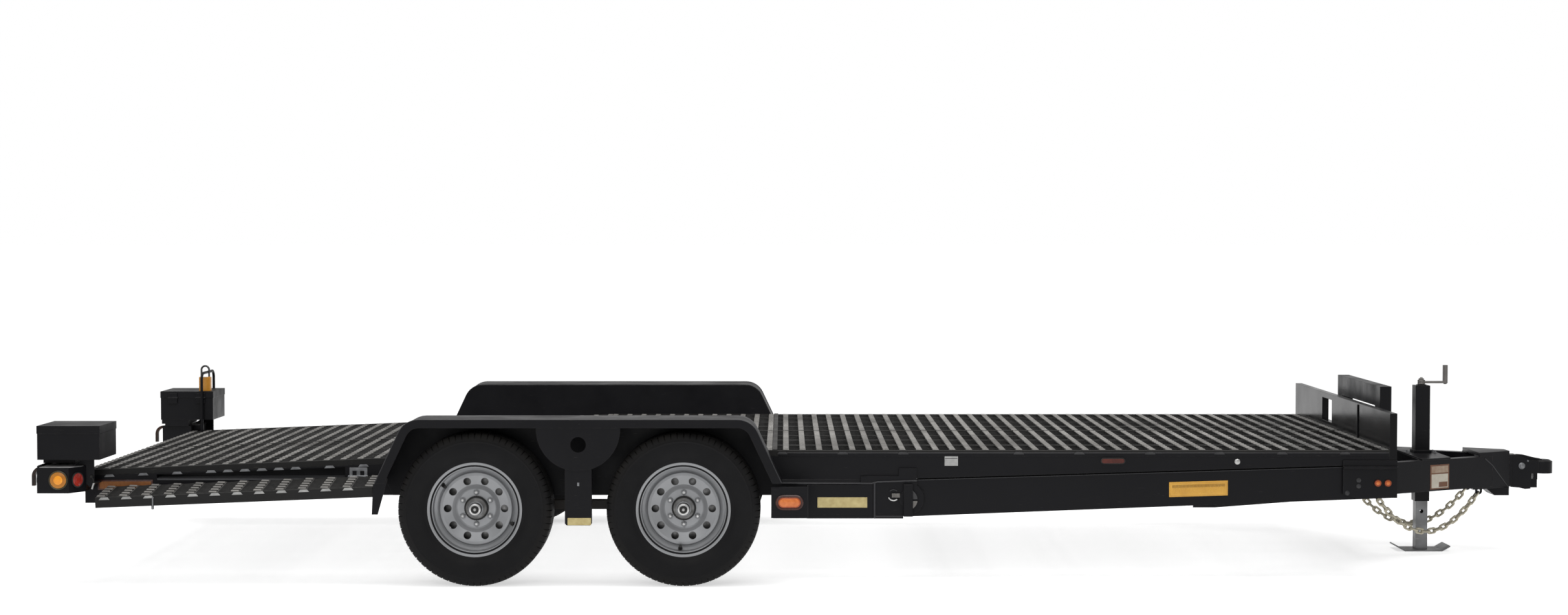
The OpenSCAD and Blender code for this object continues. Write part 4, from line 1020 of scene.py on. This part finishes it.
@dataclass
class Lamps:
    """The lamps' stepped lenses, each in its ring."""

    def round_lens(self, shape: Shape, centre: Sequence[float], axis: Sequence[float], radius: float,
                   rise: float) -> None:
        """Adds a round lamp: ring, stepped lens and its middle in the second finish, which on amber and
        orange lamps is brighter as a painted glow.
        """
        r = radius
        ring = [(r, 0), (r, 0.55 * rise), (0.95 * r, 0.75 * rise), (0.86 * r, 0.6 * rise), (0.85 * r, 0)]
        shape.turned(ring, centre, axis, 44, 2)
        steps = [(0.85 * r, 0.2 * rise), (0.84 * r, 0.62 * rise)]
        for share in (0.76, 0.66, 0.56):
            steps += [(share * r, 0.74 * rise), ((share - 0.03) * r, 0.66 * rise)]
        shape.turned(steps + [(0.47 * r, 0.7 * rise)], centre, axis, 44, 0)
        core = ((0.47, 0.6), (0.46, 0.84), (0.34, 0.93), (0.2, 0.98), (0.08, 1.0))
        shape.turned([(a * r, b * rise) for a, b in core], centre, axis, 36, 1)

    def oval_lens(self, shape: Shape, x: float, z: float, y: float) -> None:
        """Adds a long side lamp: rubber ring, lens and its lighter middle, a painted glow."""
        def ring(width: float, height: float, level: float) -> list[Point]:
            return [(x + a, level, z + b) for a, b in stadium(width, height)]

        layers = (
            (2, ((122, 66, 0), (122, 66, 4), (116, 60, 7), (100, 46, 6), (98, 44, 2))),
            (0, ((98, 44, 2), (98, 44, 6.5), (92, 39, 8.6), (84, 32, 9.0))),
            (1, ((86, 34, 8.4), (86, 34, 9.1), (80, 29, 9.9))),
        )
        for skin, rings in layers:
            shape.loft([ring(width, height, y + rise) for width, height, rise in rings], skin)

    def amber(self) -> Shape:
        """The amber lamps on the lamp boxes."""
        shape = Shape()
        self.round_lens(shape, (-2276, 1260, 469), OUT, 42, 10)
        return shape.both()

    def orange(self) -> Shape:
        """The deeper orange lamps: long ones by the wheels and small ones at the front."""
        shape = Shape()
        self.oval_lens(shape, 922, 374, 1285)
        for x in (3545, 3590):
            self.round_lens(shape, (x, 1050, 434), OUT, 17, 8)
        return shape.both()

    def red(self) -> Shape:
        """The tail lamps and the lamps on the bevelled corners."""
        shape = Shape()
        self.round_lens(shape, (-2370, 1198, 467), (-1, 0, 0), 42, 10)
        self.round_lens(shape, (-2206, 1215, 467), (0.866, 0.5, 0), 34, 9)
        return shape.both()

    def build(self, finishes: Finishes) -> None:
        """Puts the lamps in the scene."""
        skins = [finishes.amber, finishes.amber_painted_glow, finishes.olive]
        amber = put("amber_corner_lenses", self.amber(), Body.CHASSIS, skins, 25)
        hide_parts("amber_lamps")
        skins = [finishes.orange_edge, finishes.orange, finishes.lens_rim]
        put("orange_side_lenses", self.orange(), Body.CHASSIS, skins, 25)
        skins = [finishes.red, finishes.red, finishes.black_rubber]
        red = put("red_tail_lenses", self.red(), Body.CHASSIS, skins, 25)
        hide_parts("red_lamps")


@dataclass
class SideFittings:
    """Plates, reflectors, bolts and small brackets along the trailer's sides."""

    deck_y: float = 1040.0
    tongue_y: float = 1034.0
    rise: float = 0.03

    def plates(self) -> Shape:
        """The cover plates ahead of the front wheels, with their blank gold plates."""
        shape = Shape()
        face = self.deck_y + 11
        shape.block((1004, self.deck_y, 277), (1297, face, 428), 1.5, 1)
        shape.block((1047, face, 325), (1269, face + 1.6, 371), 0.4, 0)
        for x in (1053, 1263):
            for z in (330, 366):
                shape.turned([(2.6, 0), (2.4, 1), (1.2, 1.8)], (x, face + 1.4, z), OUT, 12, 0)
        return shape.both()

    def reflectors(self) -> Shape:
        """The pale, dark red and burnt orange reflectors of the deck."""
        shape = Shape()
        y = self.deck_y
        shape.block((1614, y, 511), (1674, y + 3, 553), 0.8, 0)
        shape.block((1616, y + 2.6, 542.5), (1672, y + 3.6, 545), 0.3, 3)
        for z in (519, 527, 535):
            shape.block((1616, y + 2.7, z), (1672, y + 3.4, z + 1.6), 0.3, 0)
        for width, height, low, high, cut, skin in ((112, 29, 0, 6, 2, 3), (102, 20, 4, 8, 1.5, 1)):
            outline = [(2365 + a, 532.5 + b) for a, b in stadium(width, height, 6)]
            shape.plate(outline, y + low, y + high, cut=cut, skin=skin)
        shape.block((-2163, y, 402), (-1917, y + 3, 448), 1, 4)
        shape.block((-2155, y + 2.5, 409), (-1925, y + 5, 441), 1.2, 2)
        for k in range(13):
            shape.block((-2153 + 18 * k, y + 4.6, 409), (-2151 + 18 * k, y + 5.6, 441), 0.3, 2)
        return shape.both()

    def bright_bits(self) -> Shape:
        """The deck's round bolts, the latch plates' screws, and the pivot's discs, bars and blocks."""
        shape = Shape()
        button = [(13.5, 0), (13.5, 2), (12, 4.5), (8, 7), (3, 8)]
        shape.turned(button, (2920, self.deck_y, 529), OUT, 28, 0)
        for x, z in ((3460, 447), (3460, 421), (3409, 390)):
            shape.turned([(10.5, 0), (10.5, 1.6), (9.6, 2.4)], (x, 1050, z), OUT, 24, 4)
            shape.turned([(7.6, 2.2), (7.4, 5.2), (5, 6.8)], (x, 1050, z), OUT, 6, 3, 0.4)
        middle, radius = (1446, 361), 47
        for low, high, skin in ((3, 88, 4), (-88, -7, 2)):
            arc = [math.radians(low + (high - low) * i / 12) for i in range(13)]
            outline = [(middle[0] + radius * math.cos(a), middle[1] + radius * math.sin(a)) for a in arc]
            outline.append((middle[0], middle[1] + radius * math.sin(arc[0] if low > 0 else arc[-1])))
            shape.plate(outline, 1050, 1061, cut=0.8, skin=skin)
        turns = [math.radians(12 * k) for k in range(31)]
        ring = [(1386 + 24 * math.cos(a), 1055, 381 + 24 * math.sin(a)) for a in turns]
        shape.pipe(ring[17:27], 3.4, 12, 0)
        shape.pipe(ring[4:12], 2.2, 10, 3)
        for k in range(3):
            shape.block((1378, 1050, 371 + 6 * k), (1415, 1060 - k, 376.4 + 6 * k), 1.2, 2)
        return shape.both()

    def dark_bits(self) -> Shape:
        """The pivot's bar, flange and post, the ledge above the wings and the pins through their edges."""
        shape = Shape()
        shape.block((1430, 1050, 286), (1472, 1068, 430), 2, 0)
        shape.block((1297, 1036, 276), (1430, 1052, 295), 1.5, 0)
        shape.block((1297, 1050, 276), (1306, 1056, 436), 1.5, 2)
        shape.pipe([(1306, 1053, 286), (1428, 1053, 286)], 2.6, 8, 2)
        ledge = [(972, 456.2), (1037, 446.5), (1043, 447), (1043, 453), (972, 468)]
        shape.plate(ledge, -1898, -1062, axis=0, cut=0.8, skin=3)
        shape.pipe([(-1861, 1274, 343), (-1861, 1274, 398)], 3.4, 10, 1)
        shape.pipe([(-1861, 1274, 344), (-1861, 1274, 358)], 6, 12, 1)
        shape.bolt((1500, 1040, 318), OUT, 11, 0)
        shape.turned([(11, 0), (11, 1.4), (9, 2.2)], (1512, 1034.4, 396), OUT, 20, 0)
        return shape.both()

    def strips(self) -> Shape:
        """The dark strips inside the seam above the tongue rails, and the seam of the front stop."""
        shape = Shape()
        bottom = [(x, 434.5 + self.rise * (x - 1450)) for x in (1496, 3488)]
        outline = bottom + [(x, z + 30) for x, z in bottom[::-1]]
        shape.plate(outline, 976, 980.5, cut=0.5)
        shape.both()
        shape.block((3595, -418, 566), (3600.5, -404, 738), 1.5)
        shape.block((3596, -404, 566), (3600.5, -401, 738), 0.6, 1)
        return shape

    def edge_lines(self) -> Shape:
        """The edge strips of the deck rails, and the grey lines along their edges, which are a painted
        highlight.
        """
        shape = Shape()
        shape.block((872, 1036.4, 552), (3596, 1041.4, 568), 1.0, 1)
        shape.pipe([(872, 1039.4, 568), (3596, 1039.4, 568)], 2.6, 8)
        shape.pipe([(1000, 1049, 278), (1296, 1049, 278)], 2.0, 8)
        shape.pipe([(1004, 1050, 282), (1004, 1050, 426)], 2.0, 8)
        shelf = [(1039, 430), (1047, 431), (1048, 436), (1039.5, 452)]
        shape.plate(shelf, 884, 1296, axis=0, cut=0.6, skin=1)
        lip = [(884, 1047, 433), (1290, 1050, 433), (1304, 1053, 437), (1316, 1053, 440), (1490, 1053, 445)]
        shape.pipe(lip, 3.6, 8)
        return shape.both()

    def tongue_lines(self) -> Shape:
        """The rounded upper edges of the tongue rails, in lighter grey as a painted highlight."""
        shape = Shape()
        shape.pipe([(1492, 1033, 446.6), (3616, 1033, 510.2)], 2.2, 8)
        return shape.both()

    def rail_bracket(self) -> Shape:
        """The pressed grey bracket that hangs on the rail behind the rear wheels."""
        shape = Shape()
        y = self.deck_y
        shape.block((-1040, y, 488), (-960, y + 3, 503), 0.6)
        for low, high in ((-1040, -1026), (-974, -960), (-1008, -992)):
            shape.block((low, y, 468), (high, y + 3, 489), 0.6)
        shape.block((-1046, y, 455), (-956, y + 14, 469), 2)
        for x in (-1030, -972):
            shape.turned([(7, 0), (7, 3), (5, 5)], (x, y + 14, 462), OUT, 20)
        return shape.both()

    def tongue_reflectors(self) -> Shape:
        """The yellow reflectors on the tongue rails."""
        shape = Shape()
        y = self.tongue_y
        outline = [(2617, 370), (2879, 378), (2879, 445), (2617, 437)]
        shape.plate(outline, y, y + 2.5, cut=0.8)
        outline = [(2623, 377), (2873, 384.5), (2873, 438), (2623, 430.5)]
        shape.plate(outline, y + 2, y + 4.5, cut=1.0)
        outline = [(2630, 412), (2866, 419), (2866, 431), (2630, 424)]
        shape.plate(outline, y + 4.2, y + 5.2, cut=0.3, skin=1)
        for k in range(38):
            x = 2632 + 6.2 * k
            rise = self.rise * (x - 2630)
            shape.block((x, y + 5.0, 411 + rise), (x + 1.6, y + 5.8, 424 + rise), 0.3)
            shape.block((x, y + 4.2, 384 + rise), (x + 1.6, y + 5.2, 409 + rise), 0.3)
        return shape.both()

    def build(self, finishes: Finishes) -> None:
        """Puts the side fittings in the scene."""
        put("blank_gold_plates", self.plates(), Body.CHASSIS, [finishes.gold, finishes.frame])
        skins = [finishes.silver, finishes.marker, finishes.burnt, finishes.black_rubber, finishes.lens_rim]
        put("deck_reflectors", self.reflectors(), Body.CHASSIS, skins)
        skins = [finishes.bright, finishes.galvanised, finishes.disc, finishes.highlight_grey, finishes.tab_dark]
        put("side_bolts", self.bright_bits(), Body.CHASSIS, skins)
        skins = [finishes.frame, finishes.galvanised, finishes.highlight_grey, finishes.ledge]
        put("side_trim", self.dark_bits(), Body.CHASSIS, skins)
        put("rail_brackets", self.rail_bracket(), Body.CHASSIS, [finishes.galvanised])
        put("seam_strips", self.strips(), Body.CHASSIS, [finishes.frame, finishes.highlight_grey])
        skins = [finishes.highlight_grey, finishes.frame]
        put("deck_rail_edges", self.edge_lines(), Body.CHASSIS, skins)
        put("tongue_rail_edges", self.tongue_lines(), Body.TONGUE, [finishes.highlight_grey])
        skins = [finishes.reflector, finishes.tan_edge]
        put("tongue_reflectors", self.tongue_reflectors(), Body.TONGUE, skins)


@dataclass
class RearFittings:
    """Fins, hinges and cable glands at the rear corners."""

    def fins(self) -> Shape:
        """The slanted guard plates beside the lamp boxes, and the boxes' rear lips and pale tops; the pale
        tops are painted light, and the grey bars along the edges are a painted highlight.
        """
        shape = Shape()
        outline = [(-2238, 524), (-2152, 580), (-2144, 574), (-2144, 438), (-2166, 430), (-2181, 444),
                   (-2181, 524)]
        shape.plate(outline, 1162, 1168, cut=1.0)
        shape.pipe([(-2238, 1166, 523.5), (-2153, 1166, 579.5), (-2145, 1166, 574)], 2.6, 8, 1)
        shape.block((-2181, 1040, 440), (-2144, 1162, 446), 1.5)
        shape.block((-2372, 1040, 520), (-2362, 1250, 531), 1.2)
        shape.pipe([(-2367, 1042, 531), (-2367, 1248, 531)], 2.4, 8, 1)
        # The boxes' tops in pale grey: painted light, standing for a lit top under the corner boxes.
        top = [(-2361, 1036), (-2361, 1257), (-2228, 1257), (-2190, 1190), (-2190, 1036)]
        shape.plate(top, 523, 525, axis=2, cut=0.6, skin=2)
        return shape.both()

    def glands(self) -> Shape:
        """The dark cable and its bright gland beside each lamp box."""
        shape = Shape()
        path = [(-2155, 1172, 474), (-2149, 1178, 468), (-2145, 1180, 460), (-2143, 1180, 450)]
        shape.pipe(path, 2.4, 10)
        shape.pipe([(-2143, 1180, 448), (-2152, 1177, 422)], 5.0, 12, 1)
        shape.turned([(7, 0), (7, 6), (5, 8)], (-2156, 1168, 476), OUT, 16)
        return shape.both()

    def hinges(self) -> Shape:
        """The hinges on the inner side of each corner box."""
        shape = Shape()
        for x in (-2310, -2165):
            shape.pipe([(x - 26, 956, 671), (x + 26, 956, 671)], 5.0, 12)
            shape.block((x - 24, 955, 642), (x + 24, 960, 668), 1.2)
            shape.block((x - 24, 954, 674), (x + 24, 959, 698), 1.2)
        return shape.both()

    def build(self, finishes: Finishes) -> None:
        """Puts the rear fittings in the scene."""
        skins = [finishes.frame, finishes.highlight_grey, finishes.painted_lit_top]
        put("corner_fins", self.fins(), Body.CHASSIS, skins)
        skins = [finishes.black_rubber, finishes.bright]
        put("lamp_cable_glands", self.glands(), Body.CHASSIS, skins)
        put("box_hinges", self.hinges(), Body.CHASSIS, [finishes.frame])


@dataclass
class RunningGear:
    """The clamps that hold the springs to the axles."""

    seat_y: tuple[float, float] = (993.0, 1028.0)
    axle_x: float = 457.0
    axle_z: float = 338.0
    bend_r: float = 37.0

    def clamps(self) -> Shape:
        """Four U-bolts with their plates and nuts on each side."""
        shape = Shape()
        for x in (-self.axle_x, self.axle_x):
            shape.block((x - 52, 984, 256), (x + 52, 1037, 264), 2, 0)
            for y in self.seat_y:
                path = [(x - self.bend_r, y, 244), (x - self.bend_r, y, self.axle_z)]
                for i in range(9):
                    angle = math.pi * (1 - i / 8)
                    up = self.axle_z + self.bend_r * math.sin(angle)
                    path.append((x + self.bend_r * math.cos(angle), y, up))
                path.append((x + self.bend_r, y, 244))
                shape.pipe(path, 6.0, 10, 1)
                for side in (-self.bend_r, self.bend_r):
                    shape.turned([(11, 0), (11, 10), (9.4, 11.6)], (x + side, y, 256), DOWN, 6, 1)
        return shape.both()

    def build(self, finishes: Finishes) -> None:
        """Puts the clamps in the scene."""
        put("axle_clamps", self.clamps(), Body.CHASSIS, [finishes.spring, finishes.galvanised])


@dataclass
class Drawbar:
    """What is fitted to the drawbar: label, bolts, latch, welds, ribs and the chains' links."""

    slope: float = 0.588
    swell: float = 1.5
    label_low: float = 3966.0
    label_high: float = 4072.0
    label_z: float = 326.0

    def edge(self, x: float) -> float:
        """How far out the drawbar's outer face is at x."""
        return 986 - (x - 2830) * self.slope

    def links(self, node: bpy.types.Object) -> Shape:
        """The links of a chain at the full thickness of their forged wire.

        Args:
            node: The chain's solids, whose wire is a little thinner.

        Returns:
            The shape, with each point of the solids moved outwards.
        """
        bpy.context.view_layer.update()
        work = bmesh.new()
        work.from_mesh(node.data)
        work.transform(node.matrix_world)
        bmesh.ops.remove_doubles(work, verts=work.verts, dist=0.01 * MM)
        work.normal_update()
        spots = [(spot.co / MM) + spot.normal * self.swell for spot in work.verts]
        shape = Shape()
        shape.add(
            [(x - AXLE_MIDPOINT, y, z) for x, y, z in spots],
            [[spot.index for spot in face.verts] for face in work.faces])
        work.free()
        return shape

    def head_ribs(self) -> Shape:
        """The slanted rib on each side of the drawbar's head, grey along its edge as a painted highlight.
        """
        shape = Shape()
        shape.pipe([(4276, 136, 457), (4320, 110, 421), (4417, 48, 306)], 3.0, 8)
        return shape.both()

    def label(self) -> Shape:
        """The blank plate with its bands of colour on the near arm."""
        shape = Shape()
        start, end = (Vector((x, -self.edge(x), self.label_z)) for x in (self.label_low, self.label_high))
        along = (end - start).normalized()
        out = Vector((along.y, -along.x, 0))
        move = Matrix.Translation(start) @ Matrix((along, out, UP)).transposed().to_4x4()
        width = (end - start).length
        shape.block((0, -0.5, 0), (width, 1.2, 117), 0.4, 1, move)
        shape.block((8, 0.9, 6), (width - 8, 1.8, 72), 0.3, 0, move)
        shape.block((8, 0.9, 78), (width - 8, 1.8, 110), 0.3, 2, move)
        shape.block((0.45 * width, 1.5, 10), (width - 12, 2.2, 34), 0.2, 1, move)
        return shape

    def bolts(self) -> Shape:
        """Bolts of the head plates and of the coupler."""
        shape = Shape()
        for profile, sides in (([(16, 0), (16, 3), (14, 5)], 28), ([(11, 4), (11, 13), (8, 15)], 20)):
            shape.turned(profile, (4483, -36, 412), (0, -1, 0), sides, 0)
        shape.bolt((4483, 36, 412), OUT, 18, 0)
        return shape

    def latch(self) -> Shape:
        """The coupler's top latch and its safety pin."""
        shape = Shape()
        outline = [(4462, 446), (4466, 466), (4500, 463), (4560, 448), (4586, 444), (4588, 428),
                   (4520, 430)]
        for y in (-17, 13):
            shape.plate(outline, y, y + 4, cut=0.8)
        shape.block((4536, -13, 436), (4584, 13, 442), 1.2)
        shape.pipe([(4512, -40, 436), (4512, 40, 436)], 4.0, 12, 1)
        return shape

    def beads(self) -> Shape:
        """Weld beads where the drawbar's parts meet."""
        shape = Shape()
        draw = random.Random(11)
        for x, z, low, high in ((3692, 467, -450, -350), (3748, 467, -450, -350), (4244, 467, 70, 150)):
            path = []
            count = int((high - low) / 5)
            for i in range(count + 1):
                stray = draw.uniform(-0.6, 0.6)
                y = low + (high - low) * i / count
                path.append((x + stray, y, z + draw.uniform(-0.4, 0.4)))
            shape.pipe(path, 3.0, 8)
        return shape.both()

    def build(self, finishes: Finishes) -> None:
        """Puts the drawbar's pieces in the scene."""
        put("blank_arm_label", self.label(), Body.TONGUE, [finishes.pale, finishes.brown, finishes.tan])
        put("drawbar_bolts", self.bolts(), Body.TONGUE, [finishes.galvanised])
        put("coupler_latch", self.latch(), Body.TONGUE, [finishes.tongue, finishes.galvanised])
        put("drawbar_welds", self.beads(), Body.TONGUE, [finishes.tongue])
        put("drawbar_head_ribs", self.head_ribs(), Body.TONGUE, [finishes.highlight_grey])
        for side in ("near", "far"):
            node = "chain_" + side
            shape = self.links(bpy.data.objects[node])
            links = put("forged_links_" + side, shape, Body.TONGUE, [finishes.chain], 60)
            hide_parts(node)


@dataclass
class Jack:
    """What is fitted to the jack: its cap, mount bolts and the crank's nuts."""

    x: float = 4000.0
    top: float = 802.0

    def cap(self) -> Shape:
        """The tube's cap plate and the bolts of its mount."""
        shape = Shape()
        shape.turned([(24, 0), (24, 3), (21, 4.5)], (self.x, 0, self.top), UP, 28, 0)
        for x in (-64, 64):
            for y in (-22, 22):
                shape.bolt((self.x + x, y, 474), UP, 13, 1)
        return shape

    def crank_trim(self) -> Shape:
        """The crank's stacked rings, its nut and the grip's end rings."""
        shape = Shape()
        for z in (808, 815, 822):
            shape.turned([(17, 0), (18.2, 1), (18.2, 3.5), (17, 4.5)], (self.x, 0, z), UP, 28, 0)
        shape.turned([(13, 0), (13, 6), (11.4, 8)], (self.x, 0, 827.5), UP, 6, 0)
        shape.turned([(7, 0), (7, 4), (5, 5.5)], (self.x, 0, 835), UP, 16, 0)
        shape.turned([(8, 0), (8, 3), (6, 4.5)], (self.x + 116, 0, 812), DOWN, 16, 0)
        return shape

    def build(self, finishes: Finishes) -> None:
        """Puts the jack's pieces in the scene."""
        skins = [finishes.tongue, finishes.galvanised]
        put("jack_cap_and_bolts", self.cap(), Body.TONGUE, skins)
        put("crank_rings", self.crank_trim(), Body.JACK_CRANK, [finishes.disc])


@dataclass
class Studio:
    """The pale floor, the soft light and the camera at the photograph's place."""

    camera_spot: Point = (-0.204, -12.27, 1.614)
    target: Point = (-0.3, 0.0, 0.4)
    lens: float = 57.97
    pitch: float = 2.026
    world_light: float = 0.52
    gloss_light: float = 0.6
    lamp_power: float = 400.0
    fill_share: float = 0.25
    floor_reach: float = 140.0
    floor_grey: float = 0.78
    floor_glow: float = 0.6

    def floor(self) -> None:
        """A wide pale floor that stays near white to the camera and keeps the shadow."""
        mesh = bpy.data.meshes.new("studio_floor")
        corners = ((-1, -1), (1, -1), (1, 1), (-1, 1))
        spots = [(self.floor_reach * x, self.floor_reach * y, 0) for x, y in corners]
        mesh.from_pydata(spots, [], [(0, 1, 2, 3)])
        floor = bpy.data.objects.new("studio_floor", mesh)
        bpy.context.scene.collection.objects.link(floor)
        material = bpy.data.materials.new("pale_floor")
        material.use_nodes = True
        sketch = Sketch(material.node_tree)
        sketch.tree.nodes.clear()
        matt = sketch.node("ShaderNodeBsdfDiffuse", {"Color": (*grey(self.floor_grey), 1)}).outputs[0]
        white = sketch.node("ShaderNodeEmission", {"Color": WHITE, "Strength": self.floor_glow}).outputs[0]
        both = sketch.node("ShaderNodeAddShader", {0: matt, 1: white}).outputs[0]
        rays = sketch.node("ShaderNodeLightPath").outputs
        seen = sketch.sum("MAXIMUM", rays["Is Camera Ray"], rays["Is Glossy Ray"])
        seen = sketch.sum("MAXIMUM", seen, rays["Is Transmission Ray"])
        shown = sketch.node("ShaderNodeMixShader", {0: seen, 1: matt, 2: both}).outputs[0]
        sketch.node("ShaderNodeOutputMaterial", {0: shown})
        mesh.materials.append(material)

    def world(self) -> None:
        """A white surround to the camera, a dimmer one to gloss, and an even soft light to the rest."""
        world = bpy.data.worlds.new("studio_world")
        world.use_nodes = True
        bpy.context.scene.world = world
        sketch = Sketch(world.node_tree)
        sketch.tree.nodes.clear()
        white, soft, gloss = (
            sketch.node("ShaderNodeBackground", {"Color": WHITE, "Strength": light}).outputs[0]
            for light in (1.0, self.world_light, self.gloss_light))
        rays = sketch.node("ShaderNodeLightPath").outputs
        dull = sketch.node("ShaderNodeMixShader", {0: rays["Is Glossy Ray"], 1: soft, 2: gloss}).outputs[0]
        seen = sketch.sum("MAXIMUM", rays["Is Camera Ray"], rays["Is Transmission Ray"])
        shown = sketch.node("ShaderNodeMixShader", {0: seen, 1: dull, 2: white}).outputs[0]
        sketch.node("ShaderNodeOutputWorld", {0: shown})

    def lamp(self, name: str, spot: Point, size: tuple[float, float], power: float) -> None:
        """One wide soft lamp that looks at the trailer's middle."""
        light = bpy.data.lights.new(name, "AREA")
        light.shape = "RECTANGLE"
        light.size, light.size_y = size
        light.energy = power
        lamp = bpy.data.objects.new(name, light)
        lamp.location = spot
        lamp.rotation_euler = (Vector(self.target) - Vector(spot)).to_track_quat("-Z", "Y").to_euler()
        lamp.visible_camera = False
        bpy.context.scene.collection.objects.link(lamp)

    def camera(self) -> None:
        """The camera where the photograph was taken from."""
        data = bpy.data.cameras.new("photo_camera")
        data.sensor_width = 36.0
        data.lens = self.lens
        data.clip_end = 500.0
        camera = bpy.data.objects.new("photo_camera", data)
        camera.location = self.camera_spot
        camera.rotation_euler = (math.radians(90 - self.pitch), 0, 0)
        bpy.context.scene.collection.objects.link(camera)
        bpy.context.scene.camera = camera

    def build(self) -> None:
        """Sets the whole studio."""
        bpy.context.scene.view_settings.view_transform = "Standard"
        self.camera()
        self.floor()
        self.world()
        self.lamp("top_softbox", (-0.3, -0.8, 5.5), (9.0, 4.0), self.lamp_power)
        self.lamp("front_softbox", (-2.0, -7.5, 4.2), (5.0, 3.0), self.lamp_power * self.fill_share)


def main() -> None:
    """Loads the frame, then dresses it and builds each group of pieces in turn."""
    logging.basicConfig(level=logging.INFO, format="%(message)s")
    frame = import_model()
    for spare in [o for o in bpy.context.scene.objects if o.name in ("Cube", "Light", "Camera")]:
        bpy.data.objects.remove(spare)
    Studio().build()
    finishes = Finishes(Effects())
    dress_frame(frame["nodes"], finishes)
    DeckSurface().build(finishes)
    for wheel in (
        Wheel("rear_near", -457, -1, math.radians(144), math.radians(-22)),
        Wheel("rear_far", -457, 1, math.radians(30)),
        Wheel("front_near", 457, -1, math.radians(-95)),
        Wheel("front_far", 457, 1, math.radians(200)),
    ):
        wheel.build(finishes)
    for part in (Fenders(), Lamps(), SideFittings(), RearFittings(), RunningGear(), Drawbar(), Jack()):
        part.build(finishes)


if __name__ == "__main__":
    main()
